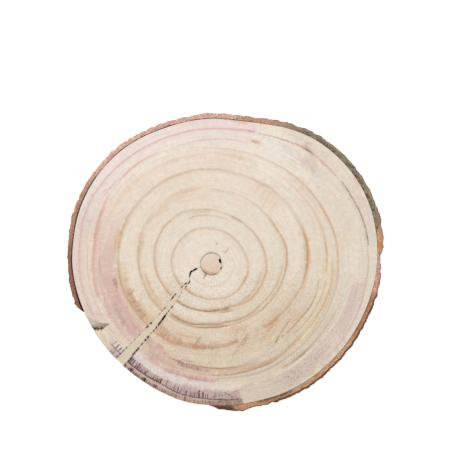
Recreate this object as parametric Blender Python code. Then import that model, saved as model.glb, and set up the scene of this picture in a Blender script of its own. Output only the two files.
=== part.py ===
"""Wood slice: a cross-cut disc of pale wood with its bark on, a radial drying
crack filled with a tapering wedge, and a round plug in the pith hole.

Metres, +Z up.  The disc lies flat on z = 0.  The origin is the centre of the
disc's bounding rectangle, on its underside.
"""
import math

import bmesh
import bpy
from mathutils import Vector
from mathutils.geometry import tessellate_polygon

MM = 0.001

# ---------------------------------------------------------------- dimensions
THICKNESS = 25.0 * MM          # sawn thickness
STATION_DEG = 20.0             # angular pitch of the stations below

# distance from the pith to the edge of the wood, every 20 degrees
# anticlockwise from +X (mm): the tree grew faster towards +X
WOOD_REACH = (157.5, 160.0, 157.5, 148.5, 138.5, 137.5, 137.5, 137.5, 135.0,
              132.5, 129.5, 128.0, 129.0, 133.0, 136.0, 141.0, 146.0, 152.0)
# bark thickness at the same stations (mm)
BARK_DEPTH = (3.8, 6.4, 4.9, 5.2, 5.1, 4.6, 4.9, 5.1, 5.6,
              4.7, 5.2, 5.0, 4.0, 3.0, 5.4, 5.8, 5.3, 4.6)
BARK_END = 199.5               # bark stops here ...
BARK_START = 269.5             # ... and starts again here (degrees)
BARK_END_TAPER = 1.0           # how blunt the torn end is (degrees)
BARK_START_TAPER = 9.0         # the other end thins out (degrees)
BARK_EDGE_ROUND = 1.1 * MM     # how far the sawn edge of the bark is worn back
WOOD_EDGE_ROUND = 0.35 * MM    # the same on bare wood
LEAN = 1.0 * MM                # the trunk leaned: the underside sits this far over

# pith hole and its plug
HOLE_R = 10.6 * MM
PLUG_R = 10.25 * MM
PLUG_SIDES = 28

# radial drying crack: distance from the pith (mm), bearing (deg), width (mm)
CRACK = ((10.6, 198.0, 0.7),
         (15.0, 198.2, 0.9),
         (21.0, 201.5, 1.0),
         (23.6, 208.5, 1.4),
         (27.0, 214.8, 2.2),
         (31.0, 219.6, 2.9),
         (38.0, 222.0, 4.2),
         (48.5, 223.8, 4.7),
         (61.0, 225.7, 5.1),
         (77.0, 226.8, 6.8),
         (99.0, 226.9, 8.4),
         (127.5, 227.0, 10.3))
WEDGE_TIP = 24.5 * MM          # the wedge starts this far from the pith
FIT_GAP = 0.35 * MM            # clearance round the wedge and the plug
INSERT_LIFT = 0.2 * MM         # wedge and plug end this far above the underside

# short split in the bare rim
SPLIT_BEARING = 208.7
SPLIT_TIP_BEARING = 209.8
SPLIT_INNER = 114.5 * MM
SPLIT_MOUTH = 1.6 * MM

RIM_STEP = 1.5                 # degrees between rim vertices
# side profile: height fraction, share of the edge rounding that is cut away
PROFILE = ((0.0, 0.80), (0.06, 0.25), (0.32, 0.0), (0.74, 0.05),
           (0.93, 0.45), (1.0, 1.0))


# ------------------------------------------------------------------- shapes
def loop_value(stations, deg):
    """Smooth closed curve through equally spaced stations (Catmull-Rom)."""
    n = len(stations)
    t = (deg % 360.0) / (360.0 / n)
    i = int(math.floor(t)) % n
    f = t - math.floor(t)
    p0, p1, p2, p3 = (stations[(i + k) % n] for k in (-1, 0, 1, 2))
    return 0.5 * (2 * p1 + (p2 - p0) * f
                  + (2 * p0 - 5 * p1 + 4 * p2 - p3) * f * f
                  + (3 * p1 - p0 - 3 * p2 + p3) * f ** 3)


def smooth(a, b, x):
    t = min(1.0, max(0.0, (x - a) / (b - a)))
    return t * t * (3 - 2 * t)


def wood_reach(deg):
    return loop_value(WOOD_REACH, deg) * MM


def bark_depth(deg):
    """Bark thickness: nothing on the bare stretch, scalloped elsewhere."""
    d = deg % 360.0
    if BARK_END < d < BARK_START:
        return 0.0
    t = loop_value(BARK_DEPTH, d) * MM
    if d <= BARK_END:
        t *= min(1.0, (BARK_END - d) / BARK_END_TAPER)
    else:
        t *= 0.35 + 0.65 * smooth(0.0, BARK_START_TAPER, d - BARK_START)
        t *= min(1.0, (d - BARK_START) / 0.8)
    rad = math.radians(d)
    scallop = (0.30 * math.sin(23 * rad + 0.7) + 0.24 * math.sin(41 * rad + 2.1)
               + 0.18 * math.sin(67 * rad + 4.0)) * MM
    return max(0.0, t + scallop * min(1.0, t / (3 * MM)))


def polar(r, deg):
    a = math.radians(deg)
    return (r * math.cos(a), r * math.sin(a))


def rim_point(deg, height):
    """Rim vertex at a height fraction: worn edges and the lean of the trunk."""
    bark = bark_depth(deg)
    share = min(1.0, bark / (2.0 * MM))
    wear = BARK_EDGE_ROUND * share + WOOD_EDGE_ROUND * (1 - share)
    cut = profile_cut(height)
    r = wood_reach(deg) + bark - wear * cut
    x, y = polar(r, deg)
    lean = LEAN * (1.0 - height)
    return (x + lean * 0.7, y - lean * 0.7)


def profile_cut(height):
    for (h0, c0), (h1, c1) in zip(PROFILE[:-1], PROFILE[1:]):
        if height <= h1:
            return c0 + (c1 - c0) * (height - h0) / (h1 - h0)
    return PROFILE[-1][1]


def crack_at(r_mm):
    """Bearing and width of the crack at a distance from the pith."""
    for (r0, b0, w0), (r1, b1, w1) in zip(CRACK[:-1], CRACK[1:]):
        if r_mm <= r1:
            f = max(0.0, (r_mm - r0) / (r1 - r0))
            return b0 + (b1 - b0) * f, w0 + (w1 - w0) * f
    return CRACK[-1][1], CRACK[-1][2]


def crack_edge(r, side, inset=0.0):
    """Point on one wall of the crack; side -1 is the lower bearing."""
    bearing, width = crack_at(r / MM)
    half = width * MM / 2 - inset
    a = math.radians(bearing)
    ca, sa = math.cos(a), math.sin(a)
    return (r * ca - side * half * sa, r * sa + side * half * ca)


def crack_radii(start, end):
    """Stations along the crack between two distances from the pith."""
    steps = max(2, int(round((end - start) / (4.0 * MM))))
    return [start + (end - start) * i / steps for i in range(steps + 1)]


def bearing_of(p):
    return math.degrees(math.atan2(p[1], p[0])) % 360.0


MOUTH_R = wood_reach(CRACK[-1][1])
LOW_EDGE = bearing_of(crack_edge(MOUTH_R, -1))
HIGH_EDGE = bearing_of(crack_edge(MOUTH_R, 1))


def slice_outline(height):
    """One anticlockwise loop: rim, in along the crack, round the hole, out."""
    pts = []
    span = LOW_EDGE + 360.0 - HIGH_EDGE
    n = int(round(span / RIM_STEP))
    bearings = [HIGH_EDGE + span * i / n for i in range(n + 1)]
    # the torn ends of the bark and the rim split get their own vertices
    split_half = math.degrees(SPLIT_MOUTH / 2 / wood_reach(SPLIT_BEARING))
    extra = [BARK_END + 360, BARK_END - BARK_END_TAPER + 360,
             BARK_START, BARK_START + 0.8]
    lo, hi = SPLIT_BEARING + 360 - split_half, SPLIT_BEARING + 360 + split_half
    bearings = [b for b in bearings
                if not (lo - 0.7 < b < hi + 0.7)
                and all(abs(b - e) > 0.35 for e in extra)]
    bearings = sorted(bearings + extra + [lo, hi])
    for b in bearings:
        pts.append(rim_point(b, height))
        if b == lo:
            pts.append(polar(SPLIT_INNER, SPLIT_TIP_BEARING))
    walls = crack_radii(HOLE_R, MOUTH_R - 3.0 * MM)
    for r in reversed(walls[1:]):
        pts.append(crack_edge(r, -1))
    a0 = bearing_of(crack_edge(HOLE_R, -1))
    a1 = bearing_of(crack_edge(HOLE_R, 1)) - 360.0
    sides = 44
    for i in range(sides + 1):
        pts.append(polar(HOLE_R, a0 + (a1 - a0) * i / sides))
    for r in walls[1:]:
        pts.append(crack_edge(r, 1))
    return pts


def wedge_outline(height):
    """Tapering strip that fills the crack, cut off along the rim."""
    low, high = [], []
    for r in crack_radii(WEDGE_TIP, MOUTH_R - 3.0 * MM):
        low.append(crack_edge(r, -1, FIT_GAP))
        high.append(crack_edge(r, 1, FIT_GAP))
    half = math.degrees(FIT_GAP / MOUTH_R)
    b0, b1 = LOW_EDGE + half, HIGH_EDGE - half
    end = [rim_point(b0 + (b1 - b0) * i / 6, height) for i in range(7)]
    return low + end + list(reversed(high))


def plug_outline(_height):
    pts = []
    for i in range(PLUG_SIDES):
        a = 360.0 * i / PLUG_SIDES
        r = PLUG_R * (1.0 - 0.012 * (1 + math.cos(math.radians(8 * a + 30))) / 2)
        pts.append(polar(r, a))
    return pts


def bounding_centre():
    xs, ys = [], []
    for h, _c in PROFILE:
        for x, y in slice_outline(h):
            xs.append(x)
            ys.append(y)
    return ((min(xs) + max(xs)) / 2, (min(ys) + max(ys)) / 2)


# ------------------------------------------------------------------- meshes
def material(name, colour, roughness):
    mat = bpy.data.materials.new(name)
    mat.use_nodes = True
    bsdf = mat.node_tree.nodes["Principled BSDF"]
    bsdf.inputs["Base Color"].default_value = (*colour, 1.0)
    bsdf.inputs["Roughness"].default_value = roughness
    bsdf.inputs["Metallic"].default_value = 0.0
    mat.diffuse_color = (*colour, 1.0)
    return mat


def solid(name, outline, levels, mat, shift):
    """Closed prism-like solid from one outline function at several heights."""
    bm = bmesh.new()
    rings = []
    for h, z in levels:
        rings.append([bm.verts.new((x - shift[0], y - shift[1], z))
                      for x, y in outline(h)])
    n = len(rings[0])
    for low, high in zip(rings[:-1], rings[1:]):
        for i in range(n):
            j = (i + 1) % n
            bm.faces.new((low[i], low[j], high[j], high[i]))
    for ring, flip in ((rings[0], True), (rings[-1], False)):
        flat = [Vector((v.co.x, v.co.y, 0.0)) for v in ring]
        for tri in tessellate_polygon([flat]):
            a, b, c = (flat[k] for k in tri)
            up = (b - a).cross(c - a).z > 0
            order = tri if up != flip else tuple(reversed(tri))
            bm.faces.new([ring[k] for k in order])
    bmesh.ops.triangulate(bm, faces=[f for f in bm.faces if len(f.verts) > 3])
    bmesh.ops.recalc_face_normals(bm, faces=bm.faces[:])
    mesh = bpy.data.meshes.new(name)
    bm.to_mesh(mesh)
    bm.free()
    mesh.materials.append(mat)
    mesh.shade_smooth()
    mesh.set_sharp_from_angle(angle=math.radians(35))
    obj = bpy.data.objects.new(name, mesh)
    bpy.context.scene.collection.objects.link(obj)
    return obj


def main():
    for obj in list(bpy.data.objects):
        bpy.data.objects.remove(obj, do_unlink=True)

    shift = bounding_centre()
    disc_levels = [(h, h * THICKNESS) for h, _c in PROFILE]
    insert_levels = [(h, INSERT_LIFT + h * (THICKNESS - INSERT_LIFT))
                     for h, _c in PROFILE]
    plug_levels = [(0.0, INSERT_LIFT), (1.0, THICKNESS)]

    wood = material("end_grain", (0.78, 0.69, 0.56), 0.72)
    pale = material("pale_insert", (0.76, 0.71, 0.58), 0.70)
    plug = material("plug_wood", (0.79, 0.66, 0.52), 0.70)

    solid("wood_slice", slice_outline, disc_levels, wood, shift)
    solid("crack_wedge", wedge_outline, insert_levels, pale, shift)
    solid("pith_plug", plug_outline, plug_levels, plug, shift)


main()
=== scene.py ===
import math

import bmesh
import bpy
import numpy as np
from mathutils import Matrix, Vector
from mathutils.geometry import tessellate_polygon


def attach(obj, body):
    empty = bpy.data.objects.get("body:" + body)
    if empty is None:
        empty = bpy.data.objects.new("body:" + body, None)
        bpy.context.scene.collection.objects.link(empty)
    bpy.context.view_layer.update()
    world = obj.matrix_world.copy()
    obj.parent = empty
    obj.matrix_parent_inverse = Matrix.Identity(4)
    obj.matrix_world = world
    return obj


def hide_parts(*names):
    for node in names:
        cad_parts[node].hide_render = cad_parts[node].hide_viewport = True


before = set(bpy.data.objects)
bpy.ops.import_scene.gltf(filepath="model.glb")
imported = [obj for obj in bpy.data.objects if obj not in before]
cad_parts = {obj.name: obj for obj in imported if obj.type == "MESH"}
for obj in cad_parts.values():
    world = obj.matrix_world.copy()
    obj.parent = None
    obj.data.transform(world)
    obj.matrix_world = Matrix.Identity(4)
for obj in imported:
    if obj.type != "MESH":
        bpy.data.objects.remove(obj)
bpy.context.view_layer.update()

# ------------------------------------------------------------------ numbers
MM = 0.001
U = 0.95 * MM                  # unit of the reach and stroke tables below
T = 25.0 * MM                  # thickness of the slice
PITH = (-12.383 * MM, -1.076 * MM)
LEAN = 1.0 * MM
HOLE_R = 10.6 * MM
PLUG_R = 10.25 * MM
LIGHT_GAIN = 1.10              # how much brighter than its own tone a surface shows

# reach of the wood under the bark and of the bark itself from the pith, every
# 10 degrees counter-clockwise from +X, in units U
WOOD = (166.0, 167.8, 169.0, 168.3, 165.8, 162.0, 156.0, 149.2, 145.8, 145.4, 144.4, 143.8,
        144.6, 145.0, 144.6, 143.6, 142.2, 140.3, 139.4, 137.8, 136.3, 135.6, 135.0, 135.3,
        136.3, 138.3, 140.8, 141.7, 143.6, 145.4, 148.8, 151.4, 154.2, 157.2, 160.2, 163.2)
OUTER = (170.0, 174.6, 175.4, 174.4, 171.8, 168.1, 161.9, 155.2, 151.4, 151.2, 149.8, 149.4,
         149.7, 150.5, 149.9, 149.4, 148.1, 145.8, 144.3, 143.8, 141.8, 141.0, 141.0, 141.0,
         141.0, 141.0, 141.0, 144.4, 149.6, 151.0, 154.8, 158.1, 160.1, 163.1, 165.5, 169.3)
# local bumps and dips of the bark's outer edge: bearing, height (U), half width
BUMPS = ((2.2, -1.5, 1.8), (5.6, 0.7, 1.4), (16.0, 0.5, 1.2), (46.8, -0.5, 1.2), (57.0, -0.6, 1.3),
         (66.5, 0.5, 1.6), (79.0, 0.2, 1.0), (92.5, 0.5, 1.4), (100.0, -0.5, 1.5), (114.0, 0.4, 0.8),
         (116.4, -0.7, 0.8), (118.5, 0.3, 1.0), (128.4, 0.5, 1.4), (130.4, -0.7, 0.7),
         (132.0, 0.8, 0.8), (141.2, -0.6, 0.8), (143.2, 0.4, 0.9), (154.2, -0.7, 1.2),
         (158.0, -0.4, 0.9), (161.0, 0.7, 1.4), (166.5, 0.4, 1.0), (184.5, -0.4, 1.4),
         (188.0, 0.3, 1.0), (194.6, -0.4, 0.8), (196.4, 0.4, 1.0), (275.0, -0.3, 1.2),
         (281.8, 1.1, 1.8), (286.2, -0.6, 1.4), (291.6, 0.5, 1.3), (293.4, -0.9, 0.7),
         (295.6, 0.9, 0.8), (305.0, -0.5, 1.2), (318.6, -0.7, 0.5), (327.0, -0.3, 1.0),
         (337.3, 0.5, 0.8), (341.2, 0.4, 0.8), (347.0, -0.4, 1.0), (356.2, 1.0, 1.2))
BARK_END, BARK_START = 199.5, 269.4

# the crack: distance from the pith (U), bearing of its middle, width (U) for the
# bare part near the pith, and the bearings of both edges further out
BARE = ((10.6, 198.0, 0.22), (14.4, 198.2, 0.25), (15.4, 199.0, 1.3), (17.0, 199.7, 2.1),
        (18.6, 200.4, 1.3), (19.6, 200.8, 1.0), (20.6, 200.9, 1.5), (21.6, 201.2, 1.2),
        (22.4, 202.4, 2.0), (23.3, 204.6, 2.3), (24.3, 207.4, 2.1), (25.3, 210.2, 1.3),
        (26.0, 212.6, 0.25), (27.2, 216.0, 0.12))
EDGES = ((27.2, 216.6, 219.2), (29.0, 217.4, 220.2), (33.0, 217.9, 221.8), (40.0, 218.7, 223.2),
         (46.0, 220.2, 225.5), (51.0, 221.2, 226.6), (57.0, 222.4, 227.6), (64.0, 223.7, 228.0),
         (70.0, 224.2, 228.4), (77.0, 224.4, 229.0), (84.0, 224.6, 229.2), (100.0, 224.7, 229.2),
         (121.0, 224.75, 229.25), (140.0, 224.8, 229.2))
WEDGE_TIP = 26.2               # U
# where it stands open beside the wedge: distance (U), length (U), gap (mm)
OPEN_LOW = ((32.6, 3.0, 1.15), (37.6, 3.6, 0.55), (47.5, 3.2, 0.50), (51.2, 3.4, 1.35),
            (54.0, 2.0, 0.55), (64.6, 2.4, 0.55), (68.0, 2.6, 0.3), (72.5, 2.0, 0.35),
            (84.6, 3.0, 0.95), (90.0, 3.6, 0.75), (101.2, 2.2, 0.45), (108.0, 2.4, 0.45),
            (113.0, 1.6, 0.35), (119.5, 2.6, 0.45), (126.0, 9.0, 0.50), (132.5, 3.5, 0.4))
OPEN_HIGH = ((29.2, 3.4, 0.75), (34.3, 2.6, 0.55), (41.5, 1.8, 0.4), (46.2, 2.2, 0.45),
             (58.6, 3.0, 0.85), (63.6, 2.8, 0.5), (67.6, 3.6, 0.6), (71.8, 6.4, 1.5),
             (78.0, 7.2, 1.1), (84.2, 3.0, 0.75), (88.2, 3.0, 0.6), (92.0, 1.6, 0.45),
             (96.8, 3.2, 0.95), (101.0, 2.6, 0.9), (106.5, 4.2, 0.5), (113.2, 5.0, 0.95),
             (118.6, 5.6, 0.85))

# ------------------------------------------------------------------ palette
PAL = {
    "cream": (230, 219, 203), "bone": (234, 224, 212), "sand": (217, 199, 174),
    "tan": (224, 204, 177), "straw": (226, 213, 182), "ochre": (190, 150, 112),
    "amber": (204, 161, 121), "honey": (222, 186, 148), "umber": (168, 124, 90),
    "bark": (128, 90, 66), "soot": (48, 34, 32), "rose": (232, 213, 206),
    "blush": (222, 190, 178), "pink": (209, 160, 160), "wine": (188, 122, 128),
    "rust": (192, 128, 98), "lilac": (219, 196, 193), "mauve": (207, 184, 186),
    "lavender": (219, 209, 209), "plum": (150, 112, 132), "night": (66, 44, 52),
    "mint": (205, 214, 196), "olive": (158, 140, 104), "moss": (104, 112, 74),
    "stone": (184, 180, 158), "ash": (208, 194, 184),
}


# ----------------------------------------------------------------- functions
def closed(stations, deg):
    """Smooth closed curve through equally spaced stations."""
    st = np.asarray(stations, float)
    n = len(st)
    t = np.mod(np.asarray(deg, float), 360.0) / (360.0 / n)
    i = np.floor(t).astype(int) % n
    f = t - np.floor(t)
    p0, p1, p2, p3 = (st[(i + k) % n] for k in (-1, 0, 1, 2))
    return 0.5 * (2 * p1 + (p2 - p0) * f + (2 * p0 - 5 * p1 + 4 * p2 - p3) * f * f
                  + (3 * p1 - p0 - 3 * p2 + p3) * f ** 3)


def sstep(a, b, x):
    t = np.clip((np.asarray(x, float) - a) / (b - a), 0.0, 1.0)
    return t * t * (3 - 2 * t)


def hash01(ix, iy, seed):
    h = (ix.astype(np.int64) * 374761393 + iy.astype(np.int64) * 668265263
         + int(seed) * 974634777) & 0xFFFFFFFF
    h = ((h ^ (h >> 13)) * 1274126177) & 0xFFFFFFFF
    h = ((h ^ (h >> 16)) * 2246822519) & 0xFFFFFFFF
    h = h ^ (h >> 15)
    return (h & 0xFFFFFF) / float(0xFFFFFF)


def vnoise(x, y, seed, wrap=None):
    """Value noise in 0..1; wrap makes the x direction periodic."""
    x = np.asarray(x, float)
    y = np.asarray(y, float)
    x, y = np.broadcast_arrays(x, y)
    ix, iy = np.floor(x).astype(np.int64), np.floor(y).astype(np.int64)
    fx, fy = x - ix, y - iy
    fx, fy = fx * fx * (3 - 2 * fx), fy * fy * (3 - 2 * fy)
    ix1 = ix + 1
    if wrap:
        ix, ix1 = ix % wrap, ix1 % wrap
    a, b = hash01(ix, iy, seed), hash01(ix1, iy, seed)
    c, d = hash01(ix, iy + 1, seed), hash01(ix1, iy + 1, seed)
    return (a * (1 - fx) + b * fx) * (1 - fy) + (c * (1 - fx) + d * fx) * fy


def fbm(x, y, seed, octaves=4, wrap=None, gain=0.5):
    total, amp, norm = 0.0, 1.0, 0.0
    for k in range(octaves):
        m = 2 ** k
        total = total + amp * vnoise(np.asarray(x) * m, np.asarray(y) * m, seed + 17 * k,
                                     wrap * m if wrap else None)
        norm += amp
        amp *= gain
    return total / norm


def turn(deg, about):
    """Bearing difference in -180..180."""
    return np.mod(np.asarray(deg, float) - about + 180.0, 360.0) - 180.0


def window(deg, a0, a1, s0, s1):
    mid, half = (a0 + a1) / 2, (a1 - a0) / 2
    d = turn(deg, mid)
    return sstep(-half - s0 / 2, -half + s0 / 2, d) * (1 - sstep(half - s1 / 2, half + s1 / 2, d))


def tone(c):
    """A palette colour, or 0-255 values, as linear reflectance under the lights."""
    c = np.array(PAL[c] if isinstance(c, str) else c, float) / 255.0
    lin = np.where(c <= 0.04045, c / 12.92, ((c + 0.055) / 1.055) ** 2.4)
    return lin / LIGHT_GAIN


def reach(deg):
    return closed(WOOD, deg) * U


def bark_outer_reach(deg):
    d = np.mod(np.asarray(deg, float), 360.0)
    r = closed(OUTER, d)
    for at, high, half in BUMPS:
        r = r + high * np.exp(-(turn(d, at) / half) ** 2)
    rad = np.radians(d)
    r = r + 0.16 * np.sin(47 * rad + 0.7) + 0.18 * np.sin(71 * rad + 2.1) + 0.14 * np.sin(113 * rad + 4.0)
    return r * U


def hole_reach(deg):
    d = np.asarray(deg, float)
    return (HOLE_R + (fbm(d / 12.0, 0.0, 91, 3, wrap=30) - 0.5) * 0.75 * MM
            - 0.85 * MM * window(d, -4, 36, 12, 12) - 0.45 * MM * window(d, 100, 160, 30, 30))


def opening(r, side):
    """Extra gap beside the wedge, in metres."""
    table, seed = (OPEN_LOW, 5) if side < 0 else (OPEN_HIGH, 9)
    u = np.asarray(r, float) / U
    g = np.zeros_like(u)
    for pos, length, extra in table:
        t = np.abs(u - pos) / (0.5 * length)
        g = np.maximum(g, extra * MM * np.clip(1.25 - t ** 3, 0, 1))
    return g * (0.62 + 0.75 * vnoise(u * 0.85, 0.0, seed))


def crack_edge(r, side, height=1.0):
    """Bearing of one wall of the crack at a distance and a share of the thickness;
    side -1 is the lower bearing. Further down the crack closes and wanders."""
    u = np.asarray(r, float) / U
    bare, edges = np.array(BARE), np.array(EDGES)
    mid = np.interp(u, bare[:, 0], bare[:, 1])
    half = np.degrees(np.interp(u, bare[:, 0], bare[:, 2]) / 2 / np.maximum(u, 5.0))
    ragged = (vnoise(u * 1.1, 0.5, 40 + side) - 0.5) * 0.35 + (vnoise(u * 0.55, 2.5, 60 + side) - 0.5) * 0.5
    open_top = sstep(0.25, 0.80, height)
    near = mid + side * half * (0.12 + 0.88 * open_top) * (1 + ragged) + (1 - open_top) * 2.6
    far = np.interp(u, edges[:, 0], edges[:, 1 if side < 0 else 2])
    top = sstep(0.55, 0.93, height)
    far = far + side * np.degrees((0.5 * opening(r, side) * top) / np.maximum(r, 1e-4))
    far = far + side * ragged * 0.30 * MM / np.maximum(r, 1e-4) * 57.3
    w = sstep(26.6, 27.8, u)
    return near * (1 - w) + far * w


# ---------------------------------------------------------- what the face shows
# ring coordinate used to lay out the mesh rows: reach of six rings every 30
# degrees from +X (units U)
RINGS = (
    (36.8, 34.8, 34.4, 35.3, 38.3, 39.7, 40.1, 38.0, 35.2, 35.3, 37.2, 37.8),
    (54.8, 53.2, 51.7, 54.0, 59.3, 59.5, 56.7, 52.4, 48.0, 47.6, 49.5, 53.8),
    (75.3, 73.6, 73.5, 76.0, 77.5, 77.5, 73.0, 69.2, 64.8, 63.6, 65.5, 70.2),
    (95.8, 97.2, 94.3, 94.0, 95.0, 95.5, 93.5, 90.0, 86.5, 82.5, 81.5, 88.0),
    (126.8, 123.5, 117.5, 120.5, 123.5, 122.5, 118.8, 113.5, 110.0, 111.5, 120.0, 124.0),
    (157.2, 153.8, 143.2, 135.4, 134.2, 136.0, 132.0, 128.5, 130.0, 134.8, 140.0, 152.0),
)

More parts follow.
